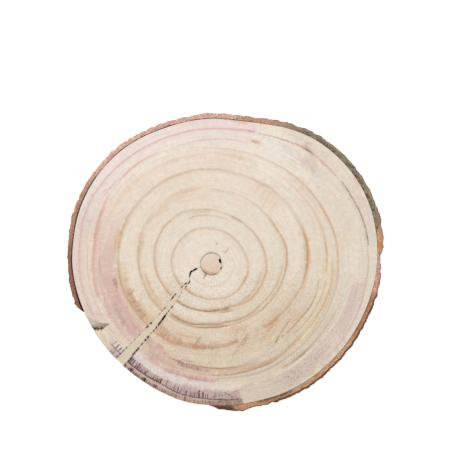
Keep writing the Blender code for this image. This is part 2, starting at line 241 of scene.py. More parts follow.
# growth lines and other drawn lines: name, colour, inner and outer falloff (mm),
# how much the line breaks up, and points (bearing, reach in U, strength)
STROKES = (
    ("r0", (216, 192, 170), 1.2, 0.9, .3, ((216, 23, .5), (250, 22.8, .45), (300, 23.2, .4), (345, 22.6, .35),
                                   (385, 21.5, .22), (410, 19.2, .2), (440, 17.5, .15))),
    ("r1", "ochre", 1.9, 0.85, .35,
     ((223, 36.2, .9), (235, 36.0, .75), (250, 35.2, .5), (270, 35.4, .4), (285, 36.2, .45),
      (300, 37.2, .42), (320, 37.7, .5), (332, 37.7, .7), (345, 38.0, .45), (360, 37.1, .34),
      (370, 36.1, .34), (380, 35.2, .36), (392, 34.4, .42), (405, 34.2, .42), (420, 34.3, .36),
      (440, 34.7, .32), (455, 35.8, .34), (470, 37.5, .40), (485, 38.5, .42), (500, 39.2, .40),
      (515, 39.9, .42), (525, 40.2, .46), (538, 40.2, .48), (548, 39.8, .4), (560, 38.8, .46),
      (570, 38.0, .5), (577, 37.4, .5))),
    ("r2", "ochre", 1.5, 0.9, .35,
     ((226, 50.9, .75), (235, 50.2, .6), (245, 49.0, .6), (255, 48.1, .62), (265, 47.8, .68),
      (275, 47.5, .55), (283, 46.6, .5), (292, 46.2, .6), (300, 48.2, .55), (310, 51.3, .6),
      (320, 53.3, .6), (335, 54.0, .5), (345, 54.8, .6), (352, 55.5, .6), (360, 54.9, .5),
      (370, 54.5, .5), (380, 54.0, .48), (390, 53.2, .48), (400, 52.2, .4), (410, 51.6, .4),
      (416, 51.7, .62), (426, 51.4, .62), (430, 52.0, .25), (440, 52.8, .22), (450, 53.8, .4),
      (457, 54.4, .5), (465, 55.6, .42), (475, 57.8, .34), (480, 59.3, .34), (492, 59.5, .35),
      (500, 60.0, .6), (512, 59.5, .5), (522, 59.0, .55), (532, 57.6, .55), (540, 56.8, .6),
      (550, 55.3, .65), (560, 53.8, .65), (570, 52.5, .65), (579, 51.3, .7))),
    ("r2k", (112, 78, 58), 0.6, 0.55, .95,
     ((228, 50.9, .72), (240, 49.6, .52), (255, 48.1, .46), (268, 47.7, .55), (280, 47.0, .36), (292, 46.7, .26))),
    ("r3k", (116, 80, 58), 0.62, 0.52, .95,
     ((231, 65.1, .85), (242, 64.7, .75), (252, 63.6, .7), (262, 61.7, .75), (272, 61.2, .5), (286, 61.2, .3),
      (300, 62.9, .3), (320, 65.0, .25))),
    ("r3m", (104, 72, 58), 0.7, 0.6, .9,
     ((256, 65.4, .3), (266, 64.1, .85), (278, 63.9, .85), (285, 64.0, .3))),
    ("f3", "honey", 1.8, 1.4, .6,
     ((414, 112.6, .05), (436, 111.0, .12), (460, 109.6, .14), (480, 110.6, .12), (500, 113.2, .16), (520, 112.6, .1))),
    ("b10", "ochre", 0.7, 0.6, .5,
     ((318, 119.4, .1), (330, 121.0, .32), (340, 122.6, .36), (350, 123.8, .26), (358, 123.6, .1))),
    ("r2b", "ochre", 0.8, 0.8, .3,
     ((426, 46.4, .2), (440, 47.2, .2), (450, 48.0, .3), (458, 49.0, .38), (466, 49.6, .45),
      (472, 50.4, .55), (478, 49.8, .2))),
    ("r2c", "honey", 0.8, 0.7, .3, ((451, 52.0, .7), (460, 52.4, .7), (472, 53.6, .6))),
    ("r2d", "ochre", 1.1, 0.8, .4,
     ((303, 47.4, .3), (312, 48.6, .42), (322, 49.7, .38), (340, 50.2, .3), (352, 50.4, .2))),
    ("r2e", "umber", 0.8, 0.7, .5, ((280, 49.6, .5), (287, 50.3, .6), (296, 51.0, .4))),
    ("r2f", "umber", 0.6, 0.6, .6, ((268, 46.4, .5), (276, 45.6, .55), (285, 47.8, .5), (292, 48.4, .4))),
    ("r3", "ochre", 1.0, 0.75, .3,
     ((230, 67.3, .55), (240, 66.4, .7), (250, 65.9, .75), (257, 65.2, .8), (265, 63.9, .8),
      (275, 63.8, .92), (280, 63.5, .75), (288, 64.0, .5), (296, 64.9, .5), (306, 65.9, .5),
      (314, 67.4, .55), (319, 68.7, .85), (326, 69.4, .7), (334, 70.8, .6), (342, 72.3, .65),
      (350, 73.6, .7), (358, 75.1, .85), (365, 75.8, .85), (372, 76.4, .75), (378, 75.9, .65),
      (385, 74.3, .75), (390, 73.6, .85), (395, 73.9, .65), (402, 73.4, .35), (415, 73.4, .3),
      (430, 73.8, .15), (438, 73.5, .35), (443, 73.4, .5), (448, 73.8, .4), (452, 74.5, .1))),
    ("r3w", "ochre", 1.6, 1.0, .70,
     ((498, 77.2, .1), (510, 77.0, .3), (524, 75.4, .5), (530, 74.0, .6), (536, 73.4, .65), (545, 72.3, .5),
      (551, 71.2, .5), (560, 70.2, .5), (570, 69.3, .55), (580, 68.4, .5), (584, 68.2, .5))),
    ("r3b", "ochre", 1.0, 0.8, .35,
     ((230, 64.0, .65), (242, 63.6, .6), (250, 62.9, .62), (256, 61.9, .62), (263, 60.2, .68),
      (270, 60.2, .6), (280, 60.4, .62), (286, 60.1, .7), (295, 61.3, .45), (305, 62.8, .5),
      (313, 63.6, .55), (318, 63.4, .65), (325, 65.0, .45), (333, 66.6, .5), (342, 68.3, .45),
      (350, 69.7, .45), (360, 71.3, .2), (366, 71.8, .05))),
    ("r4", "ochre", 1.5, 0.85, .35,
     ((310, 82.6, .3), (318, 84.8, .6), (325, 86.0, .42), (333, 88.6, .45), (340, 91.0, .6),
      (348, 93.8, .62), (355, 95.0, .8), (361, 95.9, .95), (367, 97.0, .9), (373, 98.0, .8),
      (377, 98.0, .85), (381, 97.4, .45), (392, 97.0, .28), (404, 96.5, .34), (412, 95.8, .4),
      (417, 95.0, .6), (422, 94.1, .45), (435, 93.6, .4), (445, 94.1, .45), (455, 94.4, .5),
      (463, 95.1, .4), (471, 95.2, .55), (480, 95.0, .5), (495, 95.1, .48), (506, 95.5, .5),
      (514, 95.6, .65), (520, 95.0, .8), (526, 94.2, .65), (535, 93.7, .5), (544, 93.1, .6),
      (552, 92.2, .65), (562, 91.0, .62), (572, 89.8, .6), (584, 88.4, .55))),
    ("r4w", "ochre", 1.3, 0.9, .4,
     ((230, 89.3, .5), (240, 88.3, .6), (250, 87.0, .6), (262, 85.8, .5), (275, 84.2, .4),
      (290, 82.0, .3))),
    ("r46", "amber", 1.0, 0.9, .35,
     ((355, 115.4, .35), (363, 115.6, .6), (368, 115.9, .9), (373, 116.1, .5), (382, 115.4, .35),
      (391, 114.2, .35), (400, 113.0, .28), (407, 112.0, .12))),
    ("r5", "amber", 1.1, 0.85, .3,
     ((352, 127.0, .4), (360, 126.8, .55), (370, 127.0, .6), (376, 126.2, .72), (383, 124.8, .72),
      (391, 123.2, .62), (400, 121.8, .5), (410, 119.8, .36), (420, 117.6, .3), (432, 116.4, .22),
      (445, 115.7, .18), (455, 115.6, .12))),
    ("f1", "straw", 0.9, 0.9, .3, ((405, 105.8, .3), (420, 104.6, .5), (440, 103.1, .4), (455, 102.4, .3))),
    ("f2", "pink", 0.8, 0.8, .35,
     ((432, 126.0, .2), (442, 125.3, .4), (455, 123.6, .45), (464, 122.4, .3), (470, 122.2, .12))),
    ("d1", (200, 150, 124), 0.9, 0.8, .45,
     ((472, 122.6, .1), (482, 124.0, .4), (488, 124.4, .5), (493, 124.6, .55), (499, 123.6, .1))),
    ("d1b", "pink", 0.7, 0.7, .4, ((496, 124.9, .25), (501, 126.1, .5), (506, 126.6, .35), (509, 126.9, .2))),
    ("d2", (200, 148, 126), 1.5, 0.9, .5,
     ((505, 123.8, .05), (512, 122.3, .42), (515, 121.5, .55), (519, 121.4, .4), (523, 121.0, .5),
      (527, 119.6, .48), (531, 118.0, .3), (536, 118.4, .05))),
    ("d3", (216, 184, 168), 0.9, 0.9, .3,
     ((533, 119.2, .4), (540, 119.2, .75), (543, 118.0, .95), (547, 118.3, .9), (551, 117.6, .8),
      (557, 116.2, .6), (564, 114.6, .55), (572, 113.4, .55), (579, 112.9, .6), (584, 112.4, .6))),
    ("d3b", "pink", 0.7, 0.7, .3,
     ((531, 124.4, .3), (540, 124.0, .4), (552, 123.1, .3), (562, 121.2, .4), (571, 120.0, .4),
      (584, 121.2, .4))),
    ("d4", "plum", 0.6, 0.6, .35, ((536, 112.2, .25), (539, 112.0, .32), (546, 111.6, .2))),
    ("r6", (150, 132, 102), 0.8, 0.7, .60,
     ((366, 157.6, .4), (370, 158.2, .9), (378, 157.6, .85), (384, 155.8, .75), (390, 154.6, .85),
      (393, 153.6, .3))),
    ("r6b", (186, 146, 136), 0.8, 0.7, .75,
     ((393, 153.4, .35), (400, 151.2, .6), (406, 150.0, .45), (413, 147.6, .65), (420, 143.2, .62),
      (427, 139.8, .45), (431, 138.2, .3))),
    ("r6c", "pink", 1.0, 0.8, .25,
     ((431.2, 139.0, .75), (434, 138.3, .85), (439, 136.3, .6), (446, 135.5, .55), (455, 134.9, .55),
      (465, 134.1, .62), (480, 134.2, .55), (490, 134.9, .55), (500, 135.5, .55), (510, 136.1, .55),
      (521, 135.5, .55), (527, 134.0, .6), (535, 132.7, .6), (541, 132.1, .5), (548, 131.8, .4),
      (557, 130.0, .45), (563, 129.0, .4), (567, 127.6, .2))),
    ("r6d", (212, 170, 166), 0.8, 0.7, .6,
     ((318, 147.2, .2), (326, 150.0, .55), (332, 152.0, .6), (338, 153.3, .7), (344, 154.6, .95),
      (348, 155.3, 1.0), (352, 155.7, .7), (358, 156.7, .6), (366, 157.5, .3))),
    ("belt", (42, 24, 24), 0.78, 0.66, .80,
     ((229.3, 128.7, 1.0), (236, 129.1, .85), (244, 129.8, .85), (247, 130.4, .6), (251, 131.8, .65),
      (255, 133.4, .85), (260, 134.3, .85), (265, 134.6, .8), (270, 135.6, .8), (276, 136.8, .95),
      (280, 137.9, .7), (282.3, 138.6, .4))),
    ("belt0", "plum", 0.6, 0.6, .55, ((577, 128.6, .45), (581, 128.5, .8), (584.6, 128.2, .8))),
    ("b1", (200, 154, 150), 1.0, 0.9, 1.0,
     ((236, 113.8, .05), (249, 115.4, .38), (254, 115.6, .6), (259, 116.4, .55), (263, 117.1, .66),
      (268, 117.3, .4), (278, 117.6, .05))),
    ("b2", (206, 164, 138), 0.7, 0.7, .85,
     ((234, 106.8, .25), (240, 108.2, .55), (250, 109.6, .55), (260, 110.1, .45), (270, 111.2, .65),
      (280, 112.1, .6), (290, 113.2, .6), (300, 114.2, .55), (308, 114.8, .35))),
    ("b2k", (146, 118, 90), 0.55, 0.5, .8,
     ((270, 111.4, .35), (282, 112.8, .6), (292, 113.8, .6), (300, 114.9, .75), (308, 115.3, .5), (313, 115.4, .1))),
    ("b2m", (196, 156, 116), 1.5, 1.0, .5,
     ((308, 114.2, .2), (316, 114.4, .45), (322, 115.2, .35), (328, 116.6, .2))),
    ("b3", "umber", 0.6, 0.8, .8,
     ((245, 102.7, .5), (254, 103.6, .65), (262, 103.2, .7), (270, 104.3, .75), (277, 105.4, .75),
      (285, 106.4, .5), (291, 106.9, .15))),
    ("b3b", "umber", 0.5, 0.5, .5, ((252, 100.4, .4), (256, 100.1, .65), (260, 100.2, .35))),
    ("b4", (190, 168, 152), 0.9, 0.8, .5,
     ((272, 115.2, .5), (280, 115.8, .55), (288, 117.3, .65), (296, 119.2, .8), (304, 120.3, .8),
      (312, 121.0, .8))),
    ("b4b", (200, 178, 164), 0.8, 0.7, .45,
     ((310, 120.9, .6), (320, 122.2, .75), (330, 123.7, .7), (340, 125.4, .7), (348, 126.7, .75),
      (354, 127.5, .9), (358, 127.2, .6))),
    ("b5", "rust", 0.8, 0.8, .2, ((303.5, 126.1, .2), (305.5, 126.3, .85), (307.5, 126.5, .2))),
    ("b5b", (162, 142, 112), 1.3, 0.8, .6,
     ((306, 127.0, .3), (311, 127.9, .65), (316, 128.8, .95), (319, 129.0, .6), (325, 129.9, .35),
      (332, 131.4, .35), (340, 133.2, .2))),
    ("b6", "amber", 1.3, 1.0, .35,
     ((326, 116.6, .35), (334, 118.2, .5), (341, 120.0, .65), (348, 121.1, .6), (355, 121.4, .5),
      (361, 120.6, .35))),
    ("b7", "ochre", 0.8, 0.8, .4,
     ((318, 107.6, .2), (326, 110.0, .42), (334, 112.6, .42), (342, 114.3, .38), (352, 115.9, .35))),
    ("b8", "umber", 0.9, 0.7, .4,
     ((317, 102.4, .75), (320, 102.9, .45), (326, 104.1, .5), (332, 106.0, .62), (337, 108.0, .62),
      (344, 109.0, .4), (352, 108.6, .3))),
    ("b9", "olive", 0.9, 0.9, .15, ((307.8, 102.2, .3), (310, 101.3, 1.0), (312.3, 99.2, 1.0),
                                    (313.6, 98.4, .4))),
    ("b9b", "umber", 0.7, 0.6, .3, ((313.4, 101.6, .2), (314.6, 101.7, .8), (316, 101.4, .3))),
    ("b9c", "umber", 0.7, 0.7, .4, ((314, 98.6, .4), (318, 97.0, .7), (322, 96.2, .5), (326, 96.4, .2))),
    ("pale", "bone", 0.9, 0.9, .2,
     ((298, 128.6, .2), (308, 130.3, .5), (318, 132.0, .55), (328, 135.0, .55), (338, 137.7, .55),
      (348, 139.8, .45), (355, 141.0, .2))),
    ("o1", "amber", 1.2, 1.0, .6, ((241, 77.6, .25), (250, 76.8, .5), (259, 76.0, .4), (264, 75.4, .1))),
)

# strokes that run across the rings: colour, half width (mm), points (bearing, U, strength)
CROSS = (
    ("umber", 0.45, ((283, 95, .3), (286, 90.5, .5), (290, 86, .55), (294, 82, .75), (297, 79.6, .5))),
    ("umber", 0.40, ((288, 92, .2), (291, 88, .4), (295, 83.6, .5), (298, 81, .3))),
    ("umber", 0.45, ((286, 81.8, .6), (288.4, 80.4, .6))),
    ("amber", 0.60, ((303, 93.5, .3), (308, 89.8, .6), (313, 87.2, .75), (320, 85.2, .6))),
    ("amber", 0.55, ((305, 96.5, .2), (309, 94, .45), (314, 92, .3))),
    ("amber", 0.50, ((299, 88, .2), (303, 83.5, .5), (306, 79.6, .4))),
    ("umber", 0.35, ((300, 96, .2), (304, 91.5, .35), (307, 87, .3))),
    ("ochre", 0.50, ((293, 78, .3), (297, 74, .45), (300, 70.5, .35))),
    ("ochre", 0.45, ((288, 76, .3), (292, 71.5, .45), (296, 68.0, .3))),
    ("umber", 0.35, ((257.6, 86.5, .7), (259.6, 80, .8), (261.4, 74.5, .6), (262.4, 72.4, .3))),
    ("umber", 0.35, ((259.6, 86.5, .8), (260.6, 83.4, .5))),
    ("ochre", 0.35, ((408, 74, .26), (408.8, 80, .24), (409.6, 88, .2), (410.4, 94, .1))),
    ("ochre", 0.30, ((402, 78, .1), (403, 86, .2), (403.6, 93, .1))),
    ("ochre", 0.30, ((413, 80, .1), (413.6, 86, .18), (414.2, 93, .15))),
    ("ochre", 0.30, ((418, 84, .1), (418.6, 89, .2), (418.4, 93, .15))),
    ("olive", 0.28, ((491, 57, .3), (494, 58.6, .3), (497, 60.4, .2))),
    ("olive", 0.30, ((503, 125.6, .2), (504.5, 128.5, .3), (507, 129.6, .2))),
    ("mauve", 0.35, ((520, 126, .4), (521, 130, .5), (520.4, 133, .3))),
    ("mauve", 0.35, ((566, 103, .5), (568, 108, .55), (571, 113.6, .4))),
    ("mauve", 0.35, ((574, 101, .5), (575, 107, .55), (577, 112.5, .4))),
    ("mauve", 0.30, ((579, 101, .5), (579.6, 108, .45), (580.5, 113, .4))),
)

# patches of colour. kind: B soft-ended box, O rounded spot; layer: T even tint,
# F broken into radial fibres, G grainy | colour | strength | bearings from, to |
# inner and outer reach at the first, then at the second bearing (U) | softness:
# radial (U), at the first and the second bearing (degrees)
PATCHES = (
    ("B", "T", "bone", .45, 0, 360, 0, 30, 0, 30, 8, 1, 1),
    ("B", "T", "sand", .72, 205, 348, 40, 118, 44, 118, 16, 24, 24),
    ("B", "T", (213, 197, 177), .70, 283, 350, 98, 150, 100, 155, 12, 14, 14),
    ("B", "T", (236, 227, 218), .80, 48, 172, 102, 150, 104, 150, 12, 30, 20),
    ("B", "T", (226, 213, 197), .60, -25, 42, 100, 172, 100, 172, 14, 14, 20),
    ("B", "T", (230, 217, 207), .70, 150, 206, 118, 142, 120, 142, 6, 10, 6),
    ("B", "T", (230, 217, 202), .50, 62, 150, 40, 74, 42, 76, 8, 20, 20),
    ("B", "T", (235, 221, 205), .60, 20, 110, 78, 94, 78, 94, 8, 20, 20),
    ("B", "T", (228, 214, 196), .50, 100, 200, 62, 92, 60, 88, 8, 20, 20),
    ("B", "T", (228, 214, 198), .50, 345, 385, 100, 125, 100, 125, 10, 10, 20),
    ("B", "T", (228, 207, 192), .78, 140, 204, 98, 128, 95, 124, 10, 32, 16),
    ("B", "T", (231, 214, 199), .60, 76, 150, 94, 118, 94, 118, 8, 20, 20),
    ("B", "T", (211, 186, 161), .55, 226, 332, 70, 92, 72, 97, 8, 12, 20),
    ("B", "T", (222, 203, 192), .72, 150, 211, 126, 142, 124, 140, 6, 26, 3),
    ("B", "T", (227, 212, 193), .52, 231, 364, 50, 77, 52, 80, 8, 8, 16),
    ("O", "T", (222, 200, 174), .48, 90, 162, 68, 82, 68, 80, 5, 1, 1),
    ("O", "T", (214, 184, 150), .60, 181, 227, 63, 70.5, 60.5, 67.5, 3, 1, 1),
    ("O", "T", (206, 170, 136), .55, 188, 228, 83, 92, 79.5, 89, 4, 1, 1),
    ("B", "T", (212, 180, 174), .50, 186, 224.8, 96, 104, 95, 103, 3, 5, .6),
    ("B", "T", (228, 219, 206), .80, 229, 268, 40.5, 45.6, 40.5, 45.0, 3, 1, 6),
    ("B", "T", (227, 217, 204), .65, 300, 352, 41, 46.5, 42, 48, 3, 8, 8),
    ("B", "T", (228, 219, 205), .80, 229, 292, 51.4, 58, 50, 56, 3, 1, 10),
    ("B", "T", (220, 204, 182), .50, 262, 306, 86.5, 98, 85.5, 97, 5, 6, 8),
    ("B", "T", (207, 173, 154), .50, 183, 224.8, 91, 98, 88.5, 96, 3, 8, .6),
    ("B", "T", (192, 158, 140), .50, 248, 297, 103.6, 108.8, 106.4, 110.8, 3, 6, 6),
    ("O", "T", (206, 160, 118), .75, 67.6, 73.2, 127.6, 131.8, 127, 131, 1.6, 1, 1),
    ("B", "T", (208, 184, 172), .35, 203, 222, 121, 127, 121, 127, 3, 4, 4),
    # near the pith
    ("O", "T", (222, 214, 186), .55, 205, 300, 8, 15, 8, 14, 3, 1, 1),
    ("O", "T", "tan", .65, 222, 305, 32, 38, 34, 39, 3, 1, 1),
    ("O", "T", "honey", .60, 196, 220, 36, 41, 35, 40, 2, 1, 1),
    ("O", "G", "honey", .75, 222, 240, 34, 38, 34, 38, 2, 1, 1),
    ("O", "G", "ochre", .55, 325, 348, 35, 38.6, 35.6, 39.6, 2, 1, 1),
    ("O", "F", "ochre", .90, 264, 300, 45, 50, 44.5, 50.5, 2, 1, 1),
    ("O", "G", "umber", .68, 267, 284, 45.5, 49, 45, 48.5, 2, 1, 1),
    ("O", "G", "ochre", .60, 281, 299, 44.5, 49.5, 45.5, 50.5, 2, 1, 1),
    ("B", "T", "tan", .60, 303, 352, 48, 54, 50, 56, 3, 8, 8),
    ("O", "T", (226, 205, 184), .60, -6, 38, 52, 57.5, 51.5, 55, 2, 1, 1),
    ("O", "F", "tan", .55, 86, 112, 60, 72, 62, 74, 3, 1, 1),
    # along the third ring
    ("O", "T", "straw", .80, 22, 40, 70, 75, 70.5, 75, 3, 1, 1),
    ("O", "T", "honey", .40, -10, 44, 70, 80, 70, 79, 5, 1, 1),
    ("O", "G", (210, 178, 146), .50, 91, 106, 73.5, 79.5, 74.5, 79.5, 2, 1, 1),
    ("O", "G", (206, 170, 136), .60, 100, 116, 73, 80.5, 74.5, 81, 2, 1, 1),
    ("O", "G", (210, 178, 146), .45, 111, 126, 75, 81, 76, 81.5, 2, 1, 1),
    ("O", "G", (214, 186, 158), .50, 120, 158, 70, 80, 70, 79, 4, 1, 1),
    ("O", "F", (206, 166, 128), .80, 153, 177, 70, 77, 69, 75, 3, 1, 1),
    ("O", "G", "ochre", .65, 181, 208, 64.5, 69.5, 63, 67.5, 2.5, 1, 1),
    ("O", "F", "honey", .80, 204, 224.5, 61.5, 68.5, 61, 67.5, 2.5, 1, 1),
    ("O", "F", "ochre", .80, 229.5, 252, 61.5, 67, 60.5, 65, 2.5, 1, 1),
    ("O", "T", (216, 184, 150), .75, 278, 301, 64.5, 75, 65, 76, 4, 1, 1),
    ("O", "T", "honey", .15, 316, 364, 63, 70, 70, 76, 3, 1, 1),
    # along the fourth ring
    ("O", "T", "honey", .95, 349, 385, 92, 101, 93, 102, 4, 1, 1),
    ("O", "G", "amber", .85, 353, 372, 94, 98.5, 95.5, 99.5, 2.5, 1, 1),
    ("O", "G", "tan", .70, -4, 12, 102, 113, 103, 113, 4, 1, 1),
    ("O", "F", "blush", .65, 43, 66, 88, 100, 88, 100, 4, 1, 1),
    ("O", "F", "tan", .60, 38, 66, 76, 96, 76, 96, 6, 1, 1),
    ("O", "T", "honey", .50, 108, 128, 93, 99, 93, 99, 3, 1, 1),
    ("O", "T", "honey", .70, 148, 182, 94, 99.5, 92.5, 98, 3, 1, 1),
    ("O", "T", "tan", .80, 160, 184, 95, 106, 94, 104, 4, 1, 1),
    ("B", "F", "honey", .80, 180, 225, 85, 93, 79, 90, 4, 10, 1),
    ("O", "F", (198, 154, 116), .80, 186, 228, 84.5, 92.5, 78.5, 89.5, 3, 1, 1),
    ("O", "F", (176, 130, 96), .62, 194, 226, 86, 92, 80.5, 89, 3, 1, 1),
    ("B", "F", "ochre", .85, 229, 249, 79, 90.5, 80, 88.5, 3, 1, 5),
    ("O", "F", "rust", .65, 228, 244, 83, 89.5, 82, 88, 3, 1, 1),
    ("O", "G", "ochre", .95, 243, 255, 83, 89, 82.5, 88, 2, 1, 1),
    ("O", "F", (156, 112, 80), 1.0, 251, 279, 82.5, 88, 81, 86, 2.2, 1, 1),
    ("O", "F", "umber", .70, 255, 272, 82.5, 86.5, 82, 86, 2, 1, 1),
    ("O", "G", "ochre", .95, 272, 293, 79.5, 85, 79, 84, 2.5, 1, 1),
    ("O", "T", "tan", .60, 229, 266, 73, 80, 72, 79, 4, 1, 1),
    ("O", "G", "amber", .95, 306, 321, 78.6, 85, 82.5, 88.5, 2.5, 1, 1),
    ("O", "T", "amber", .55, 311, 326, 81, 87.5, 84, 89, 3, 1, 1),
    ("O", "T", "tan", .60, 280, 332, 84, 99, 88, 104, 6, 1, 1),
    ("O", "T", "honey", .60, 312, 340, 96, 104, 98, 106, 4, 1, 1),
    ("O", "T", "honey", .60, 335, 364, 92, 98, 93.5, 99, 3, 1, 1),
    ("O", "T", "straw", .60, 286, 306, 96, 102, 97, 103, 3, 1, 1),
    # outside the fourth ring, upper half
    ("O", "T", "tan", .60, 62, 94, 104, 114, 104, 114, 4, 1, 1),
    ("O", "T", "honey", .35, 69, 82, 106, 112.5, 106, 112.5, 3, 1, 1),
    ("O", "T", "tan", .60, 90, 108, 106.5, 111.5, 106.5, 111.5, 3, 1, 1),
    ("O", "G", "honey", .45, 104, 114, 106.5, 112.5, 107, 113, 2.5, 1, 1),
    ("O", "T", "tan", .45, 122, 156, 107, 116, 108, 116, 5, 1, 1),
    ("O", "T", (222, 205, 178), .60, 14, 60, 116, 128, 110, 124, 6, 1, 1),
    ("O", "G", "amber", 1.0, 67.5, 73.2, 127.8, 132, 127, 131, 1.6, 1, 1),
    ("O", "G", "ochre", .9, 69.0, 72.4, 128, 131.4, 127.4, 130.8, 1.2, 1, 1),
    ("O", "T", "blush", .50, 65, 74, 125, 134, 125, 134, 3, 1, 1),
    ("B", "T", (232, 217, 209), .5, 71.3, 150, 124, 147, 124, 146, 3, 1.4, 26),
    ("B", "T", (230, 209, 204), .40, 71.3, 96, 136.5, 146, 135.5, 146, 1.6, .7, 12),
    ("O", "T", (226, 210, 212), .50, 92, 105, 138, 145, 138, 145, 2.5, 1, 1),
    ("O", "T", (228, 205, 200), .60, 157, 172, 136.5, 143, 134.5, 141.5, 2, 1, 1),
    ("O", "T", (222, 204, 196), .60, 166, 200, 127, 135, 125, 133, 3, 1, 1),
    ("O", "G", "blush", .60, 129, 138, 116, 119.5, 116, 119.5, 1.6, 1, 1),
    ("O", "G", "wine", .90, 149.2, 151.0, 136.6, 138.8, 136.6, 138.8, .9, 1, 1),
    ("O", "T", "blush", .70, 152, 178, 117, 123.5, 112.5, 120, 3, 1, 1),
    ("O", "T", (232, 212, 196), .60, 116, 140, 121, 127, 121, 127, 3, 1, 1),
    # upper right
    ("O", "T", (217, 204, 198), .62, 31, 63, 134, 144, 131, 141, 4, 1, 1),
    ("O", "F", (206, 182, 174), .30, 37, 55, 134, 150, 133, 149, 4, 1, 1),
    ("O", "F", (190, 156, 150), .24, 41, 50, 135, 148, 134, 147, 3, 1, 1),
    ("O", "G", (172, 104, 100), 1.0, 47.2, 52.4, 147.4, 150.8, 147.4, 150.4, 1.2, 1, 1),
    ("O", "F", (190, 130, 126), .45, 49.3, 52.6, 149, 158, 149, 158, 2.5, 1, 1),
    ("O", "G", (190, 148, 136), .55, 40, 44, 148.6, 152.6, 148, 152, 1.6, 1, 1),
    ("B", "T", "mint", .48, 7.6, 11.6, 159, 168, 159, 168.5, 1.5, 1.1, 1.4),
    ("O", "T", "straw", .45, 6, 15, 129, 144, 129, 144, 4, 1, 1),
    ("O", "T", (224, 205, 195), .70, 10, 36, 158, 169, 157, 168, 3, 1, 1),
    ("O", "G", (216, 156, 134), .60, 25.5, 34.0, 165, 169.5, 164.5, 168.5, 1.6, 1, 1),
    ("O", "G", (216, 156, 134), .50, 15.5, 18.5, 166.5, 169.5, 166.5, 169.5, 1.2, 1, 1),
    ("O", "T", (226, 208, 198), .60, 34, 66, 150, 166, 146, 156, 5, 1, 1),
    ("O", "T", (226, 196, 180), .70, 71, 86, 142, 146.5, 141.5, 146, 1.8, 1, 1),
    ("O", "G", "amber", .62, 72.5, 82.5, 144.5, 147.5, 143.2, 146.4, 1.4, 1, 1),
    ("O", "G", (204, 170, 138), .70, 154, 178, 93, 102, 92, 101, 4, 1, 1),
    ("O", "T", (196, 152, 118), .50, 246, 286, 81, 87.2, 77, 83.5, 3, 1, 1),
    ("O", "T", (206, 156, 112), .68, 307, 323, 79, 86, 82.5, 88, 2.5, 1, 1),
    # pink and maroon on the left
    ("B", "T", (216, 187, 175), .68, 160, 224.8, 95, 118, 93, 112, 7, 34, 1),
    ("O", "T", (226, 198, 190), .60, 183, 212, 102, 112, 100, 110, 4, 1, 1),
    ("O", "G", "pink", .45, 178, 191, 108.5, 114.0, 108.5, 114, 2, 1, 1),
    ("B", "G", (208, 160, 144), .62, 152, 176, 119.2, 122.2, 116.4, 119.6, 1.1, 8, 3),
    ("B", "G", (206, 156, 144), .70, 170, 198, 116.5, 119.8, 116.2, 119.6, 1.1, 4, 8),
    ("B", "G", (196, 150, 148), .42, 186, 224, 103, 110, 101, 108, 3, 6, 1),
    ("O", "F", (230, 214, 198), .60, 152, 178, 106, 115, 104, 112, 2.5, 1, 1),
    ("O", "G", (152, 98, 100), .85, 187.2, 195.8, 96.4, 99.6, 95.9, 99.0, 1.1, 1, 1),
    ("O", "G", (162, 106, 108), .92, 187.0, 197, 96.2, 102.2, 95.5, 101.5, 2, 1, 1),
    ("B", "F", (206, 160, 158), .62, 195, 224.8, 97, 102.6, 96, 101.5, 2, 3, .6),
    ("O", "G", (194, 142, 142), .70, 209, 226.6, 97.4, 101.4, 96, 100.6, 1.8, 1, 1),
    ("O", "F", (180, 142, 142), .80, 196, 226, 101, 110, 100, 109, 4, 1, 1),
    ("O", "F", (204, 152, 146), .60, 183, 226, 110, 117, 108, 116, 3, 1, 1),
    ("O", "F", (206, 168, 158), .28, 166, 200, 98, 112, 96, 110, 4, 1, 1),
    ("B", "T", (224, 205, 190), .70, 203, 224.8, 113.5, 120, 112.5, 119.5, 2, 8, .6),
    ("O", "T", (221, 206, 212), .60, 218.5, 227, 119.5, 127, 118.5, 127, 2, 1, 1),
    ("B", "T", (208, 184, 180), .65, 217.5, 224.8, 126.5, 137, 126, 137, 2, 2, .5),
    ("O", "F", "plum", .50, 219.6, 226, 127, 135.5, 124, 136, 2, 1, 1),
    ("O", "G", "amber", .45, 212, 219, 128.2, 134, 128.2, 133.5, 2, 1, 1),
    ("B", "T", (222, 204, 178), .60, 211, 219.5, 128, 137, 128, 137, 2, 1.5, 2),
    ("B", "T", (219, 204, 184), .60, 196, 209, 127, 137.5, 127, 137, 3, 3, .6),
    # bands below, outside the fourth ring
    ("B", "T", (214, 190, 172), .60, 228.8, 272, 98, 112, 99, 112, 4, .5, 6),
    ("B", "F", (200, 162, 154), .95, 229.0, 247, 96, 104, 98, 104, 3, .5, 6),
    ("B", "G", "blush", .70, 236, 273, 102.4, 107.5, 103.8, 109.2, 1.2, 4, 5),
    ("O", "F", (164, 116, 98), .90, 247, 273, 102.4, 108, 104, 109.4, 1.6, 1, 1),
    ("O", "F", (142, 100, 88), .70, 249.5, 257.5, 101, 107.6, 101.8, 108, 1.6, 1, 1),
    ("B", "T", "honey", .50, 268, 292, 105, 109.6, 107, 110.4, 1.6, 4, 5),
    ("B", "T", (217, 190, 181), .55, 228.8, 272, 109.4, 114.4, 113, 118, 3.0, .5, 6),
    ("O", "F", (204, 160, 154), .65, 228, 246, 109.6, 114.0, 111, 116, 2, 1, 1),
    ("B", "T", "lavender", .75, 228.8, 271, 115.4, 121.6, 119, 126.6, 2.4, .5, 3),
    ("B", "T", (220, 210, 198), .60, 268, 284, 119, 128, 119, 129, 2, 3, 3),
    ("B", "T", (206, 182, 174), .85, 228.9, 283, 121.6, 130, 129, 139, 1.4, .4, .7),
    ("B", "G", "plum", .30, 228.9, 250, 123.6, 129.4, 125.5, 131, 1.6, .4, 4),
